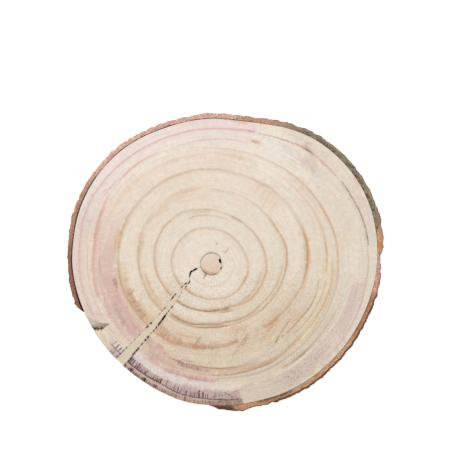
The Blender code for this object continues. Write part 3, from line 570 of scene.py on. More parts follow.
    ("O", "F", (150, 114, 130), .90, 249, 274, 125.4, 134, 128.5, 135.6, 2, 1, 1),
    ("B", "T", (206, 182, 164), .90, 228.9, 283, 129.4, 139, 138, 147, 1.4, .4, .7),
    ("B", "G", "ochre", .30, 228.9, 282, 130.4, 139, 139, 147, 1.2, .4, .7),
    ("B", "T", (198, 170, 166), .75, 270.4, 282.4, 129.4, 135.6, 131.4, 138.4, 1.0, 2, .5),
    ("B", "T", (214, 172, 172), .50, 274, 283.2, 128.8, 131.2, 129.6, 132.0, .8, 2, .6),
    ("B", "T", (192, 160, 150), .80, 270.4, 282.4, 136.4, 146, 139, 147, 1.0, 2, .5),
    ("B", "F", (128, 92, 86), .40, 228.9, 249, 121.4, 127.5, 126, 131, 1.4, .4, 4),
    ("B", "F", (136, 98, 86), .62, 228.9, 283, 131.4, 139, 138, 147, 1.2, .4, .7),
    ("B", "F", (168, 122, 118), .45, 228.9, 270, 127.0, 131, 131, 136, 1.2, .4, .7),
    ("B", "F", (188, 138, 134), .72, 246, 270, 112, 117.2, 114, 118, 2, 4, 5),
    ("B", "F", (190, 150, 136), .55, 234, 250, 104, 111, 105, 112, 2, 4, 5),
    ("B", "F", (176, 150, 148), .60, 249, 276, 122.4, 128, 126.5, 133, 2.5, 3, 3),
    # lower right
    ("B", "T", (211, 184, 154), .65, 283, 305, 109.8, 114.4, 111.6, 115.2, 1.4, 4, 4),
    ("B", "G", "ochre", .50, 285, 304, 110.4, 114, 112, 114.8, 1.4, 3, 3),
    ("O", "G", "olive", .50, 300, 312, 112, 115.2, 112.4, 115.6, 1.6, 1, 1),
    ("O", "T", "amber", .62, 309, 324, 112.2, 116.4, 113, 117, 2, 1, 1),
    ("O", "T", "honey", .60, 318, 350, 112.5, 118, 117.5, 122.5, 3, 1, 1),
    ("B", "T", (228, 213, 185), .60, 318, 362, 106, 124, 108, 126, 5, 10, 10),
    ("B", "T", (213, 198, 182), .75, 283, 304, 126, 146, 128, 148, 4, .8, 6),
    ("O", "G", "olive", .70, 285.6, 287.4, 131.0, 133.4, 131.0, 133.4, .9, 1, 1),
    ("O", "T", (206, 190, 182), .65, 296, 326, 130.5, 147, 132, 149, 4, 1, 1),
    ("B", "T", "lilac", .40, 312, 354.4, 131.5, 150, 141, 154, 5.0, 16, 7.0),
    ("B", "T", (214, 190, 188), .32, 332, 353.0, 137.6, 150, 141.4, 154, 3.5, 8, 5.0),
    ("O", "F", "mauve", .35, 340, 352, 140, 151, 141, 152, 3, 1, 1),
    ("O", "T", (206, 176, 160), .70, 284, 308, 143.6, 148, 147.5, 152, 2, 1, 1),
    ("O", "G", "wine", .50, 294, 305, 146.4, 149.6, 147.8, 151.4, 1.4, 1, 1),
    ("O", "T", "blush", .70, 316, 356, 155, 160, 160, 165, 2, 1, 1),
)


def patch_mask(kind, deg, rr, a0, a1, i0, o0, i1, o1, sr, s0, s1, edge):
    if a1 - a0 >= 359:
        q = rr + edge * sr
        return sstep(-sr / 2, sr / 2, q - i0) * (1 - sstep(-sr / 2, sr / 2, q - o0))
    mid = (a0 + a1) / 2
    d = turn(deg, mid) + mid
    f = np.clip((d - a0) / (a1 - a0), 0, 1)
    inner, outer = i0 + (i1 - i0) * f, o0 + (o1 - o0) * f
    if kind == "B":
        q = rr + edge * sr * 1.3
        m = sstep(-sr / 2, sr / 2, q - inner) * (1 - sstep(-sr / 2, sr / 2, q - outer))
        return m * window(deg + edge * min(s0, s1) * 1.2, a0, a1, s0, s1)
    x = (d - mid) / ((a1 - a0) / 2)
    y = (rr - (inner + outer) / 2) / np.maximum((outer - inner) / 2, 0.1)
    y = y + edge * 0.8
    x = x + edge * 0.5
    k = np.clip(sr / np.maximum((outer - inner) / 2, 0.1), 0.15, 1.0)
    return 1 - sstep(1 - k, 1.0, np.sqrt(x * x + y * y))


def paint(deg, r):
    """Layers of the sawn face at given bearings (229..585) and distances (m)."""
    n = deg.shape
    rr = r / U
    edge = (fbm(deg / 2.2, rr / 3.2, 41, 3) - 0.5) * 1.6
    base = np.empty(n + (3,))
    base[:] = tone("cream")
    big = fbm(deg / 15.0, rr / 22.0, 11, 3)
    base *= (0.985 + 0.03 * big)[..., None]
    layers = {"F": [np.zeros(n), np.tile(tone("ochre"), n + (1,))],
              "G": [np.zeros(n), np.tile(tone("honey"), n + (1,))]}
    for kind, layer, col, strength, a0, a1, i0, o0, i1, o1, sr, s0, s1 in PATCHES:
        m = patch_mask(kind, deg, rr, a0, a1, i0, o0, i1, o1, sr, s0, s1, edge)
        c = tone(col)
        if layer == "T":
            w = np.clip(m * strength, 0, 1)[..., None]
            base = base * (1 - w) + c * w
        else:
            mask, colour = layers[layer]
            w = m / np.maximum(np.maximum(m, mask * (1 - m)), 1e-6)
            colour[:] = np.where((m > 0.003)[..., None], colour * (1 - w[..., None]) + c * w[..., None],
                                 colour)
            mask[:] = np.maximum(mask, m * strength)
    # every growth line sits at the end of a soft band of darker wood
    for ch in stroke_paths():
        for name, colour, w_in, w_out, brk, grid, reach_u, strength in ch:
            if name.startswith("belt"):
                continue
            a = np.interp(deg, grid, strength, left=0, right=0)
            d = (rr - np.interp(deg, grid, reach_u)) * 0.95
            soft = np.where(d < 0, np.exp(-(d / (2.4 * w_in)) ** 2), np.exp(-(d / (1.3 * w_out)) ** 2))
            w = np.clip(a * soft * (0.10 + 0.30 * fbm(deg / 6.0, rr / 9.0, 61, 2)), 0, 1)[..., None]
            base = base * (1 - w) + tone(colour) * w
    return base, layers


def stroke_paths():
    """Strokes as dense tables, sorted into channels so that two strokes of one
    channel never come close to each other."""
    paths = []
    for name, col, w_in, w_out, broken, pts in STROKES:
        p = np.array(pts, float)
        grid = np.arange(p[0, 0], p[-1, 0] + 0.25, 0.25)
        reach_u = np.interp(grid, p[:, 0], p[:, 1])
        k = min(17, max(3, (len(grid) // 4) * 2 + 1))
        pad = np.concatenate([np.full(k // 2, reach_u[0]), reach_u, np.full(k // 2, reach_u[-1])])
        reach_u = np.convolve(pad, np.ones(k) / k, "valid")
        amp = np.interp(grid, p[:, 0], p[:, 2])
        cap = np.minimum(grid - grid[0], grid[-1] - grid) / 0.9
        if grid[0] < 230.5:
            cap = (grid[-1] - grid) / 0.9
        if grid[-1] > 583.5:
            cap = (grid - grid[0]) / 0.9
        paths.append((name, col, w_in, w_out, broken, grid, reach_u, amp * np.clip(cap, 0, 1)))
    channels = []
    for path in paths:
        for ch in channels:
            ok = True
            for other in ch:
                lo, hi = max(path[5][0], other[5][0]) - 2.5, min(path[5][-1], other[5][-1]) + 2.5
                if hi <= lo:
                    continue
                g = np.arange(lo, hi, 0.5)
                gap = np.abs(np.interp(g, path[5], path[6]) - np.interp(g, other[5], other[6]))
                if gap.min() < 8.2:
                    ok = False
                    break
            if ok:
                ch.append(path)
                break
        else:
            channels.append([path])
    return channels


def stroke_layers(deg, r):
    """Per channel: signed distance to the nearest stroke and falloffs (mm),
    strength, colour and brokenness."""
    out = []
    for ch in stroke_paths():
        sd = np.full(deg.shape, 9.0)
        amp = np.zeros(deg.shape)
        fall = np.ones(deg.shape + (2,))
        col = np.tile(tone("ochre"), deg.shape + (1,))
        broken = np.full(deg.shape, 0.3)
        for k, (name, colour, w_in, w_out, brk, grid, reach_u, strength) in enumerate(ch):
            wob = (fbm(deg / 7.0, 0.0, 1300 + 31 * k + len(name), 3) - 0.5) * 0.7
            here = (deg > grid[0] - 2.4) & (deg < grid[-1] + 2.4)
            d = (r / U - np.interp(deg, grid, reach_u) - wob) * 0.95
            a = np.interp(deg, grid, strength, left=0, right=0)
            # the rings are softer and wider on the upper side
            ease = window(deg, 18, 172, 24, 14) if name[:2] in ("r3", "r4") else 0 * deg
            a = a * (1 - 0.36 * ease)
            widen = (1 + 0.55 * ease)[..., None]
            take = here & (np.abs(d) < np.abs(sd))
            sd = np.where(take, d, sd)
            amp = np.where(take, a, amp)
            fall = np.where(take[..., None], np.array([w_in, w_out]) * widen, fall)
            col = np.where(take[..., None], tone(colour), col)
            broken = np.where(take, brk, broken)
        amp = amp * (1 - sstep(1.8, 2.35, np.abs(sd)))
        out.append((sd, fall, amp, col, broken))
    return out


def cross_layer(deg, r):
    """Strokes across the rings, painted straight into a mask."""
    rr = r / U
    mask = np.zeros(deg.shape)
    col = np.tile(tone("umber"), deg.shape + (1,))
    for colour, half, pts in CROSS:
        p = np.array(pts, float)
        x, y = p[:, 1] * np.cos(np.radians(p[:, 0])), p[:, 1] * np.sin(np.radians(p[:, 0]))
        lo, hi = p[:, 0].min() - 4, p[:, 0].max() + 4
        near = (deg > lo) & (deg < hi) & (rr > p[:, 1].min() - 4) & (rr < p[:, 1].max() + 4)
        if not near.any():
            continue
        px, py = rr[near] * np.cos(np.radians(deg[near])), rr[near] * np.sin(np.radians(deg[near]))
        best = np.full(px.shape, 99.0)
        amp = np.zeros(px.shape)
        for i in range(len(p) - 1):
            dx, dy = x[i + 1] - x[i], y[i + 1] - y[i]
            t = np.clip(((px - x[i]) * dx + (py - y[i]) * dy) / (dx * dx + dy * dy), 0, 1)
            d = np.hypot(px - x[i] - t * dx, py - y[i] - t * dy)
            a = p[i, 2] * (1 - t) + p[i + 1, 2] * t
            amp = np.where(d < best, a, amp)
            best = np.minimum(best, d)
        m = amp * np.clip(1.15 - best / (half / 0.95 + 0.75), 0, 1)
        cur = mask[near]
        col[near] = np.where((m > cur)[..., None], tone(colour), col[near])
        mask[near] = np.maximum(cur, m)
    return mask, col


# --------------------------------------------------------------- mesh helpers
def grid_faces(rows, cols, close=False, offset=0):
    """Quads of a rows x cols vertex grid."""
    r, c = np.meshgrid(np.arange(rows - 1), np.arange(cols if close else cols - 1), indexing="ij")
    c1 = (c + 1) % cols
    a, b = r * cols + c, r * cols + c1
    d, e = (r + 1) * cols + c, (r + 1) * cols + c1
    return np.stack([a, b, e, d], -1).reshape(-1, 4) + offset


def make_object(name, verts, faces, mats, face_mat, attrs, smooth_angle=40):
    mesh = bpy.data.meshes.new(name)
    mesh.from_pydata(verts.tolist(), [], faces)
    for key, (kind, data) in attrs.items():
        if kind == "COLOR":
            at = mesh.attributes.new(key, "FLOAT_COLOR", "POINT")
            rgba = np.ones((len(verts), 4), np.float32)
            rgba[:, :data.shape[1]] = data
            at.data.foreach_set("color", rgba.ravel())
        elif kind == "VECTOR":
            at = mesh.attributes.new(key, "FLOAT_VECTOR", "POINT")
            at.data.foreach_set("vector", np.asarray(data, np.float32).ravel())
        else:
            at = mesh.attributes.new(key, "FLOAT", "POINT")
            at.data.foreach_set("value", np.asarray(data, np.float32).ravel())
    for m in mats:
        mesh.materials.append(m)
    mesh.polygons.foreach_set("material_index", np.asarray(face_mat, np.int32))
    bm = bmesh.new()
    bm.from_mesh(mesh)
    bmesh.ops.recalc_face_normals(bm, faces=bm.faces[:])
    bm.to_mesh(mesh)
    bm.free()
    mesh.shade_smooth()
    mesh.set_sharp_from_angle(angle=math.radians(smooth_angle))
    mesh.update()
    obj = bpy.data.objects.new(name, mesh)
    bpy.context.scene.collection.objects.link(obj)
    return obj


def cap_faces(loop2d, ids):
    """Fill one flat loop given its 2-D shape."""
    tris = tessellate_polygon([[Vector((x, y, 0)) for x, y in loop2d]])
    return [(ids[a], ids[b], ids[c]) for a, b, c in tris]


def zipper(a_ids, a_key, b_ids, b_key):
    """Triangles between two rows of vertices whose keys fall steadily."""
    out, i, j = [], 0, 0
    while i < len(a_ids) - 1 or j < len(b_ids) - 1:
        step_a = j == len(b_ids) - 1 or (i < len(a_ids) - 1 and a_key[i + 1] >= b_key[j + 1])
        if step_a:
            out.append((a_ids[i], a_ids[i + 1], b_ids[j]))
            i += 1
        else:
            out.append((a_ids[i], b_ids[j + 1], b_ids[j]))
            j += 1
    return out


# ----------------------------------------------------------------- materials
class Nodes:
    """Short helper for building a node tree."""

    def __init__(self, name):
        self.mat = bpy.data.materials.new(name)
        self.mat.use_nodes = True
        self.tree = self.mat.node_tree
        self.tree.nodes.clear()
        self.out = self.tree.nodes.new("ShaderNodeOutputMaterial")
        self.bsdf = self.tree.nodes.new("ShaderNodeBsdfPrincipled")
        self.tree.links.new(self.bsdf.outputs[0], self.out.inputs[0])

    def node(self, kind, **props):
        n = self.tree.nodes.new(kind)
        for k, v in props.items():
            setattr(n, k, v)
        return n

    def put(self, socket, value):
        if hasattr(value, "is_output"):
            self.tree.links.new(value, socket)
        else:
            socket.default_value = value

    def math(self, op, a, b=0.0, c=0.0, clamp=False):
        n = self.node("ShaderNodeMath", operation=op, use_clamp=clamp)
        for s, v in zip(n.inputs, (a, b, c)):
            self.put(s, v)
        return n.outputs[0]

    def add(self, a, b):
        return self.math("ADD", a, b)

    def sub(self, a, b):
        return self.math("SUBTRACT", a, b)

    def mul(self, a, b):
        return self.math("MULTIPLY", a, b)

    def vec(self, x, y, z=0.0):
        n = self.node("ShaderNodeCombineXYZ")
        for s, v in zip(n.inputs, (x, y, z)):
            self.put(s, v)
        return n.outputs[0]

    def split(self, v):
        n = self.node("ShaderNodeSeparateXYZ")
        self.put(n.inputs[0], v)
        return n.outputs

    def noise(self, vector, scale=1.0, detail=3.0, rough=0.55, distortion=0.0):
        n = self.node("ShaderNodeTexNoise")
        self.put(n.inputs["Vector"], vector)
        self.put(n.inputs["Scale"], scale)
        self.put(n.inputs["Detail"], detail)
        self.put(n.inputs["Roughness"], rough)
        self.put(n.inputs["Distortion"], distortion)
        return n.outputs["Fac"]

    def voronoi(self, vector, scale=1.0, feature="F1", rand=1.0):
        n = self.node("ShaderNodeTexVoronoi", feature=feature)
        self.put(n.inputs["Vector"], vector)
        self.put(n.inputs["Scale"], scale)
        self.put(n.inputs["Randomness"], rand)
        return n.outputs["Distance"]

    def white(self, value):
        n = self.node("ShaderNodeTexWhiteNoise", noise_dimensions="1D")
        self.put(n.inputs["W"], value)
        return n.outputs["Value"]

    def span(self, value, a, b, c=0.0, d=1.0, smooth=True):
        n = self.node("ShaderNodeMapRange", interpolation_type="SMOOTHSTEP" if smooth else "LINEAR")
        for s, v in zip(n.inputs, (value, a, b, c, d)):
            self.put(s, v)
        return n.outputs[0]

    def mix(self, fac, a, b, mode="MIX"):
        n = self.node("ShaderNodeMix", data_type="RGBA", blend_type=mode, clamp_factor=True)
        self.put(n.inputs[0], fac)
        for s, v in ((n.inputs[6], a), (n.inputs[7], b)):
            self.put(s, v if hasattr(v, "is_output") else (*v, 1.0))
        return n.outputs[2]

    def shade(self, colour, factor):
        """Multiply a colour by a grey factor."""
        n = self.node("ShaderNodeVectorMath", operation="SCALE")
        self.put(n.inputs[0], colour)
        self.put(n.inputs["Scale"], factor)
        return n.outputs[0]

    def attr(self, name, out="Fac"):
        n = self.node("ShaderNodeAttribute", attribute_type="GEOMETRY", attribute_name=name)
        return n.outputs[out]

    def attr4(self, name):
        n = self.node("ShaderNodeAttribute", attribute_type="GEOMETRY", attribute_name=name)
        return n.outputs["Color"], n.outputs["Alpha"]

    def coords(self):
        """x, y, z about the pith, distance, unit direction, object position."""
        tc = self.node("ShaderNodeTexCoord")
        sep = self.split(tc.outputs["Object"])
        x = self.sub(sep[0], PITH[0])
        y = self.sub(sep[1], PITH[1])
        r = self.math("SQRT", self.add(self.mul(x, x), self.mul(y, y)))
        rs = self.math("MAXIMUM", r, 0.0005)
        return (x, y, sep[2], r, self.math("DIVIDE", x, rs), self.math("DIVIDE", y, rs),
                tc.outputs["Object"])

    def bump(self, height, strength, distance, normal=None):
        n = self.node("ShaderNodeBump")
        self.put(n.inputs["Height"], height)
        n.inputs["Strength"].default_value = strength
        n.inputs["Distance"].default_value = distance
        if normal is not None:
            self.put(n.inputs["Normal"], normal)
        return n.outputs[0]


def end_grain(name, channels, underside=False):
    """Sawn end grain: tints, stains, growth lines, rays, fibres and pores."""
    m = Nodes(name)
    x, y, z, r, ux, uy, obj = m.coords()
    deg = m.attr("deg")
    rmm = m.mul(r, 1000.0)
    macro = m.attr("macro", "Color")

    warp = m.noise(obj, 110.0, 3.0, 0.6)
    warp_c = m.sub(warp, 0.5)
    far = m.span(rmm, 42.0, 70.0)

    # radial fibres, about a millimetre and a half apart at any distance
    def fibres(k_near, k_far, k_r, detail=2.0, bend=2.0):
        d = m.add(deg, m.mul(warp_c, bend))
        a = m.noise(m.vec(m.mul(d, k_near), m.mul(rmm, k_r), 3.1), 1.0, detail, 0.6)
        b = m.noise(m.vec(m.mul(d, k_far), m.mul(rmm, k_r), 7.7), 1.0, detail, 0.6)
        return m.add(m.mul(a, m.sub(1.0, far)), m.mul(b, far))

    fib = fibres(0.42, 1.0, 0.10)
    fib_fine = fibres(1.1, 2.3, 0.16, 2.0, 1.0)
    grain = m.noise(obj, 620.0, 3.0, 0.6)
    clump = m.noise(obj, 260.0, 3.0, 0.6)
    grit = m.noise(obj, 1500.0, 2.0, 0.6)
    cloud = m.noise(obj, 55.0, 4.0, 0.6)
    # faint layers that follow the rings
    lay = m.attr("ring")
    fine = m.noise(m.vec(m.add(m.mul(lay, 17.0), m.mul(warp_c, 1.6)), m.mul(deg, 0.035), 0.0),
                   1.0, 3.0, 0.6)
    patchy = m.noise(m.vec(m.mul(ux, 6.0), m.mul(uy, 6.0), m.mul(rmm, 0.05)), 1.0, 3.0, 0.6)

    col = macro
    col = m.mix(m.span(cloud, 0.36, 0.66), m.mix(1.0, col, (1.006, 0.992, 0.975), "MULTIPLY"),
                m.mix(1.0, col, (0.998, 1.006, 1.012), "MULTIPLY"))
    col = m.shade(col, m.span(fine, 0.3, 0.7, 0.952, 1.042))
    thin = m.noise(m.vec(m.add(m.mul(lay, 24.0), m.mul(warp_c, 2.2)), m.mul(deg, 0.06), 2.0), 1.0, 2.0, 0.6)
    col = m.shade(col, m.add(1.0, m.mul(m.sub(thin, 0.5), m.add(0.06, m.mul(m.span(uy, 0.2, -0.4), 0.20)))))
    ray_w = m.mul(m.span(patchy, 0.42, 0.66), 1.0)
    col = m.shade(col, m.add(1.0, m.mul(m.sub(fib_fine, 0.5), m.add(0.12, m.mul(ray_w, 0.30)))))
    col = m.shade(col, m.add(1.0, m.mul(m.sub(clump, 0.5), 0.24)))
    # fine mottling, with a slight shift between pinkish and greenish wood
    fleck = m.noise(obj, 880.0, 2.0, 0.6)
    hue = m.noise(obj, 175.0, 3.0, 0.6)
    col = m.shade(col, m.add(1.0, m.mul(m.sub(fleck, 0.5), m.add(0.20, m.mul(m.span(uy, 0.3, -0.5), 0.66)))))
    col = m.mix(m.span(hue, 0.36, 0.64), m.mix(1.0, col, (1.020, 0.988, 0.986), "MULTIPLY"),
                m.mix(1.0, col, (0.980, 1.004, 1.002), "MULTIPLY"))

    # stains
    g_col, g_a = m.attr4("stain_g")
    g_noise = m.span(m.add(m.mul(clump, 0.40), m.mul(grain, 0.60)), 0.36, 0.62, 0.0, 1.0, False)
    g_w = m.math("MULTIPLY", g_a, m.span(g_noise, 0.0, 1.0, 0.14, 1.22, False), clamp=True)
    col = m.mix(m.mul(g_w, 0.92), col, g_col)
    f_col, f_a = m.attr4("stain_f")
    f_noise = m.span(m.add(m.mul(fib, 0.6), m.mul(fib_fine, 0.4)), 0.36, 0.64, 0.0, 1.0, False)
    f_w = m.math("MULTIPLY", f_a, m.span(f_noise, 0.0, 1.0, 0.06, 1.28, False), clamp=True)
    col = m.mix(m.mul(f_w, 0.92), col, f_col)
    x_col, x_a = m.attr4("cross")
    col = m.mix(m.mul(x_a, m.span(grain, 0.3, 0.6, 0.55, 1.1)), col, x_col)

    # growth lines
    dash = m.noise(m.vec(m.mul(deg, 0.34), m.mul(rmm, 0.10), 0.0), 1.0, 3.0, 0.7)
    dash_f = m.noise(m.vec(m.mul(deg, m.add(0.9, m.mul(far, 0.9))), m.mul(rmm, 0.55), 4.0), 1.0, 2.0, 0.6)
    wob = m.add(m.mul(m.sub(m.noise(m.vec(m.mul(ux, 26.0), m.mul(uy, 26.0), m.mul(rmm, 0.06)),
                                    1.0, 3.0, 0.6), 0.5), 1.1), m.mul(m.sub(grain, 0.5), 0.7))
    bead = m.span(m.add(m.mul(grain, 0.7), m.mul(fleck, 0.3)), 0.38, 0.60, 0.50, 1.32, False)
    line_total = None
    for k in range(channels):
        sx, sy, sz = m.split(m.attr("sd%d" % k, "Vector"))
        l_col, l_a = m.attr4("ln%d" % k)
        brk = m.attr("bk%d" % k)
        d = m.add(sx, wob)
        side = m.math("LESS_THAN", d, 0.0)
        w = m.add(m.mul(sy, side), m.mul(sz, m.sub(1.0, side)))
        w = m.mul(w, m.span(dash_f, 0.3, 0.7, 0.75, 1.25, False))
        p = m.math("SUBTRACT", 1.0, m.math("DIVIDE", m.math("ABSOLUTE", d), m.mul(w, 1.45)), clamp=True)
        p = m.math("POWER", p, 1.05)
        inner_fib = m.sub(1.0, m.mul(side, m.mul(m.span(fib_fine, 0.40, 0.62, 0.45, 0.0), 1.0)))
        q = m.add(1.30, m.mul(brk, m.mul(m.sub(m.add(m.mul(dash, 0.6), m.mul(dash_f, 0.4)), 0.5), 4.4)))
        f = m.math("MULTIPLY", m.mul(p, m.mul(l_a, q)), m.mul(inner_fib, bead), clamp=True)
        col = m.mix(f, col, l_col)
        line_total = f if line_total is None else m.math("MAXIMUM", line_total, f)

    # short dark radial ticks hanging from the belt line and from the rim
    tk = m.split(m.attr("tick", "Vector"))       # depth below belt, depth below rim, worms
    ta, tb = m.attr("tick_a"), m.attr("tick_b")
    phase = m.add(m.math("DIVIDE", deg, 0.94), m.mul(m.sub(m.noise(m.vec(m.mul(deg, 0.9), 0.0, 5.0),
                                                             1.0, 1.0, 0.5), 0.5), 1.6))
    cell = m.math("FLOOR", phase)
    tri = m.math("ABSOLUTE", m.sub(m.math("FRACT", phase), 0.5))
    lean_n = m.noise(m.vec(m.mul(deg, 1.3), m.mul(rmm, 0.5), 9.0), 1.0, 2.0, 0.6)

    def ticks(depth, mask, seed, longest, thick, skip):
        h = m.white(m.add(cell, seed))
        h2 = m.white(m.add(cell, seed + 17.3))
        on = m.mul(m.span(h, skip, skip + 0.25), m.add(0.70, m.mul(h2, 0.45)))
        length = m.mul(m.add(0.42, m.mul(h2, 0.60)), longest)
        body = m.span(m.sub(length, depth), -0.25, 0.75)
        start = m.span(depth, -0.6, 0.2)
        wide = m.add(m.mul(m.mul(mask, 0.20), m.add(0.35, h2)), thick)
        width = m.span(m.add(tri, m.mul(m.sub(lean_n, 0.5), 0.34)), wide, m.add(wide, 0.16), 1.0, 0.0)
        return m.math("MULTIPLY", m.mul(m.mul(body, start), m.mul(width, on)), m.mul(mask, m.span(grain, 0.34, 0.58, 0.55, 1.35)), clamp=True)

    tick1 = ticks(tk[0], ta, 3.0, 7.2, 0.07, 0.12)
    tick2 = ticks(tk[1], tb, 51.0, 4.6, 0.07, -0.25)
    worm_n = m.noise(obj, 330.0, 3.0, 0.65, 1.4)
    worm = m.mul(m.span(m.math("ABSOLUTE", m.sub(worm_n, 0.5)), 0.012, 0.045, 1.0, 0.0), tk[2])
    worm = m.mul(worm, m.span(clump, 0.42, 0.56))
    t_col = m.attr("tick_c", "Color")
    col = m.mix(m.mul(tick1, 1.0), col, t_col)
    col = m.mix(tick2, col, m.mix(m.span(tb, 0.92, 0.62), t_col, tuple(tone((104, 80, 66)))))
    col = m.mix(m.mul(worm, 0.85), col, t_col)

    # pores and specks
    pores = m.voronoi(obj, 640.0)
    pore = m.mul(m.span(pores, 0.16, 0.04), m.span(m.noise(obj, 130.0, 2.0), 0.5, 0.68))
    col = m.mix(m.mul(pore, 0.30), col, tuple(tone("ochre")))
    col = m.shade(col, m.span(grit, 0.25, 0.75, 0.972, 1.024))
    # stain spots and painted shade laid on the top face
    dirt_and_shade_c, dirt_and_shade_w = m.attr4("dirt_and_shade")
    col = m.mix(m.mul(dirt_and_shade_w, m.span(grain, 0.30, 0.60, 0.80, 1.05)), col, dirt_and_shade_c)
    if underside:
        arc = m.math("SQRT", m.add(m.math("POWER", m.sub(x, 0.42), 2.0),
                                   m.math("POWER", m.add(y, 0.30), 2.0)))
        saw = m.noise(m.vec(m.mul(arc, 520.0), m.mul(x, 4.0), 0.0), 1.0, 3.0, 0.6)
        col = m.shade(col, m.span(saw, 0.25, 0.75, 0.84, 0.99))
    m.put(m.bsdf.inputs["Base Color"], col)
    m.put(m.bsdf.inputs["Roughness"],
          m.span(m.sub(grit, m.mul(line_total, 0.25)), 0.2, 0.9, 0.58, 0.80))
    m.bsdf.inputs["Specular IOR Level"].default_value = 0.28
    h = m.add(m.mul(fib_fine, 0.5), m.mul(fine, 0.3))
    h = m.add(h, m.mul(grit, 0.25))
    h = m.sub(h, m.mul(pore, 0.5))
    h = m.sub(h, m.mul(m.math("MAXIMUM", tick1, tick2), 0.9))
    h = m.sub(h, m.mul(line_total, 0.25))
    if underside:
        h = m.add(h, m.mul(saw, 1.6))
    m.put(m.bsdf.inputs["Normal"], m.bump(h, 0.45, 0.00022))
    return m.mat


def bare_side(name):
    """Debarked rim: long grain running up the side, with dark stained streaks."""
    m = Nodes(name)
    x, y, z, r, ux, uy, obj = m.coords()
    macro = m.attr("macro", "Color")
    grain = m.noise(m.vec(m.mul(ux, 230.0), m.mul(uy, 230.0), m.mul(z, 28.0)), 1.0, 4.0, 0.6)
    coarse = m.noise(m.vec(m.mul(ux, 60.0), m.mul(uy, 60.0), m.mul(z, 16.0)), 1.0, 3.0, 0.6)
    blotch = m.noise(obj, 55.0, 4.0, 0.6)
    grit = m.noise(obj, 1300.0, 2.0, 0.6)
    col = m.shade(macro, m.span(grain, 0.28, 0.72, 0.80, 1.06))
    col = m.mix(m.mul(m.span(coarse, 0.49, 0.66), 0.70), col, tuple(tone((122, 86, 70))))
    col = m.mix(m.mul(m.span(blotch, 0.55, 0.75), 0.35), col, tuple(tone((168, 122, 104))))
    col = m.shade(col, m.span(grit, 0.25, 0.75, 0.93, 1.04))
    m.put(m.bsdf.inputs["Base Color"], col)
    m.put(m.bsdf.inputs["Roughness"], m.span(grain, 0.3, 0.7, 0.6, 0.82))
    m.bsdf.inputs["Specular IOR Level"].default_value = 0.3
    h = m.add(grain, m.mul(coarse, 1.2))
    m.put(m.bsdf.inputs["Normal"], m.bump(h, 0.6, 0.0004))
    return m.mat


def crack_wall(name, light, dark):
    """Torn radial face inside the crack and behind the lifted bark: painted shade darkens it quickly below the sawn
    face."""
    m = Nodes(name)
    x, y, z, r, ux, uy, obj = m.coords()
    grain = m.noise(m.vec(m.mul(r, 520.0), m.mul(ux, 30.0), m.mul(z, 60.0)), 1.0, 4.0, 0.6)
    # painted shade: below the top millimetre the wall is dark brown to near black; the sawn-face colour shows only at
    # the top
    col = m.mix(m.span(grain, 0.3, 0.7), tuple(dark), tuple(tone("bark")))
    top = m.span(m.add(z, m.mul(m.sub(grain, 0.5), 0.0012)), T - 0.0011, T - 0.0001)
    col = m.mix(top, col, tuple(light))
    m.put(m.bsdf.inputs["Base Color"], col)
    m.bsdf.inputs["Roughness"].default_value = 0.88
    m.bsdf.inputs["Specular IOR Level"].default_value = 0.15
    m.put(m.bsdf.inputs["Normal"], m.bump(grain, 0.6, 0.0004))
    return m.mat


def bark_cut(name):
    """Sawn edge of the bark: crumbly grains, pits and short fibres."""
    m = Nodes(name)
    x, y, z, r, ux, uy, obj = m.coords()
    macro = m.attr("macro", "Color")
    depth = m.attr("depth")
    moss = m.attr("moss")
    dark = m.attr("dark")
    fibre = m.noise(m.vec(m.mul(ux, 120.0), m.mul(uy, 120.0), m.mul(r, 700.0)), 1.0, 4.0, 0.7)
    crumb = m.noise(obj, 620.0, 3.0, 0.75)
    cells = m.voronoi(obj, 620.0)
    patch = m.noise(obj, 190.0, 4.0, 0.65)
    lam = m.noise(m.vec(m.mul(depth, 6.5), m.mul(ux, 24.0), m.mul(uy, 24.0)), 1.0, 3.0, 0.6)
    col = m.shade(macro, m.span(crumb, 0.36, 0.64, 0.60, 1.34, False))
    col = m.shade(col, m.span(fibre, 0.34, 0.66, 0.80, 1.18, False))
    col = m.mix(m.mul(m.span(cells, 0.34, 0.12), m.span(patch, 0.40, 0.58, 0.25, 0.85)), col,
                m.mix(1.0, col, (0.40, 0.39, 0.40), "MULTIPLY"))
    col = m.mix(m.mul(m.span(lam, 0.52, 0.64), 0.6), col, m.mix(1.0, col, (1.20, 1.19, 1.18), "MULTIPLY"))
    col = m.mix(m.mul(m.span(lam, 0.47, 0.36), 0.6), col, m.mix(1.0, col, (0.60, 0.58, 0.57), "MULTIPLY"))
    col = m.mix(m.mul(m.span(patch, 0.54, 0.70), 0.35), col,
                m.mix(1.0, col, (0.70, 0.67, 0.66), "MULTIPLY"))
    # moss lies in the grooves, most of it next to the wood
    mo = m.span(m.add(moss, m.mul(m.sub(m.add(m.mul(crumb, 0.6), m.mul(patch, 0.4)), 0.5), 3.4)), 0.36, 0.76)
    col = m.mix(m.mul(mo, 0.92), col, m.mix(m.span(m.add(m.mul(fibre, 0.35), m.mul(patch, 0.65)), 0.40, 0.60), tuple(tone((60, 64, 42))),
                                            tuple(tone((152, 144, 118)))))
    # dark runs in the bark, and painted shade along its outer edge below
    da = m.span(m.add(dark, m.mul(m.sub(crumb, 0.5), 2.4)), 0.38, 0.74)
    col = m.mix(m.mul(da, 0.85), col, tuple(tone((74, 52, 42))))
    m.put(m.bsdf.inputs["Base Color"], col)
    m.put(m.bsdf.inputs["Roughness"], m.span(fibre, 0.3, 0.7, 0.76, 0.94))
    m.bsdf.inputs["Specular IOR Level"].default_value = 0.18
    h = m.add(m.mul(crumb, 1.0), m.mul(m.span(cells, 0.0, 0.3), 0.5))
    m.put(m.bsdf.inputs["Normal"], m.bump(h, 0.8, 0.0007))
    return m.mat


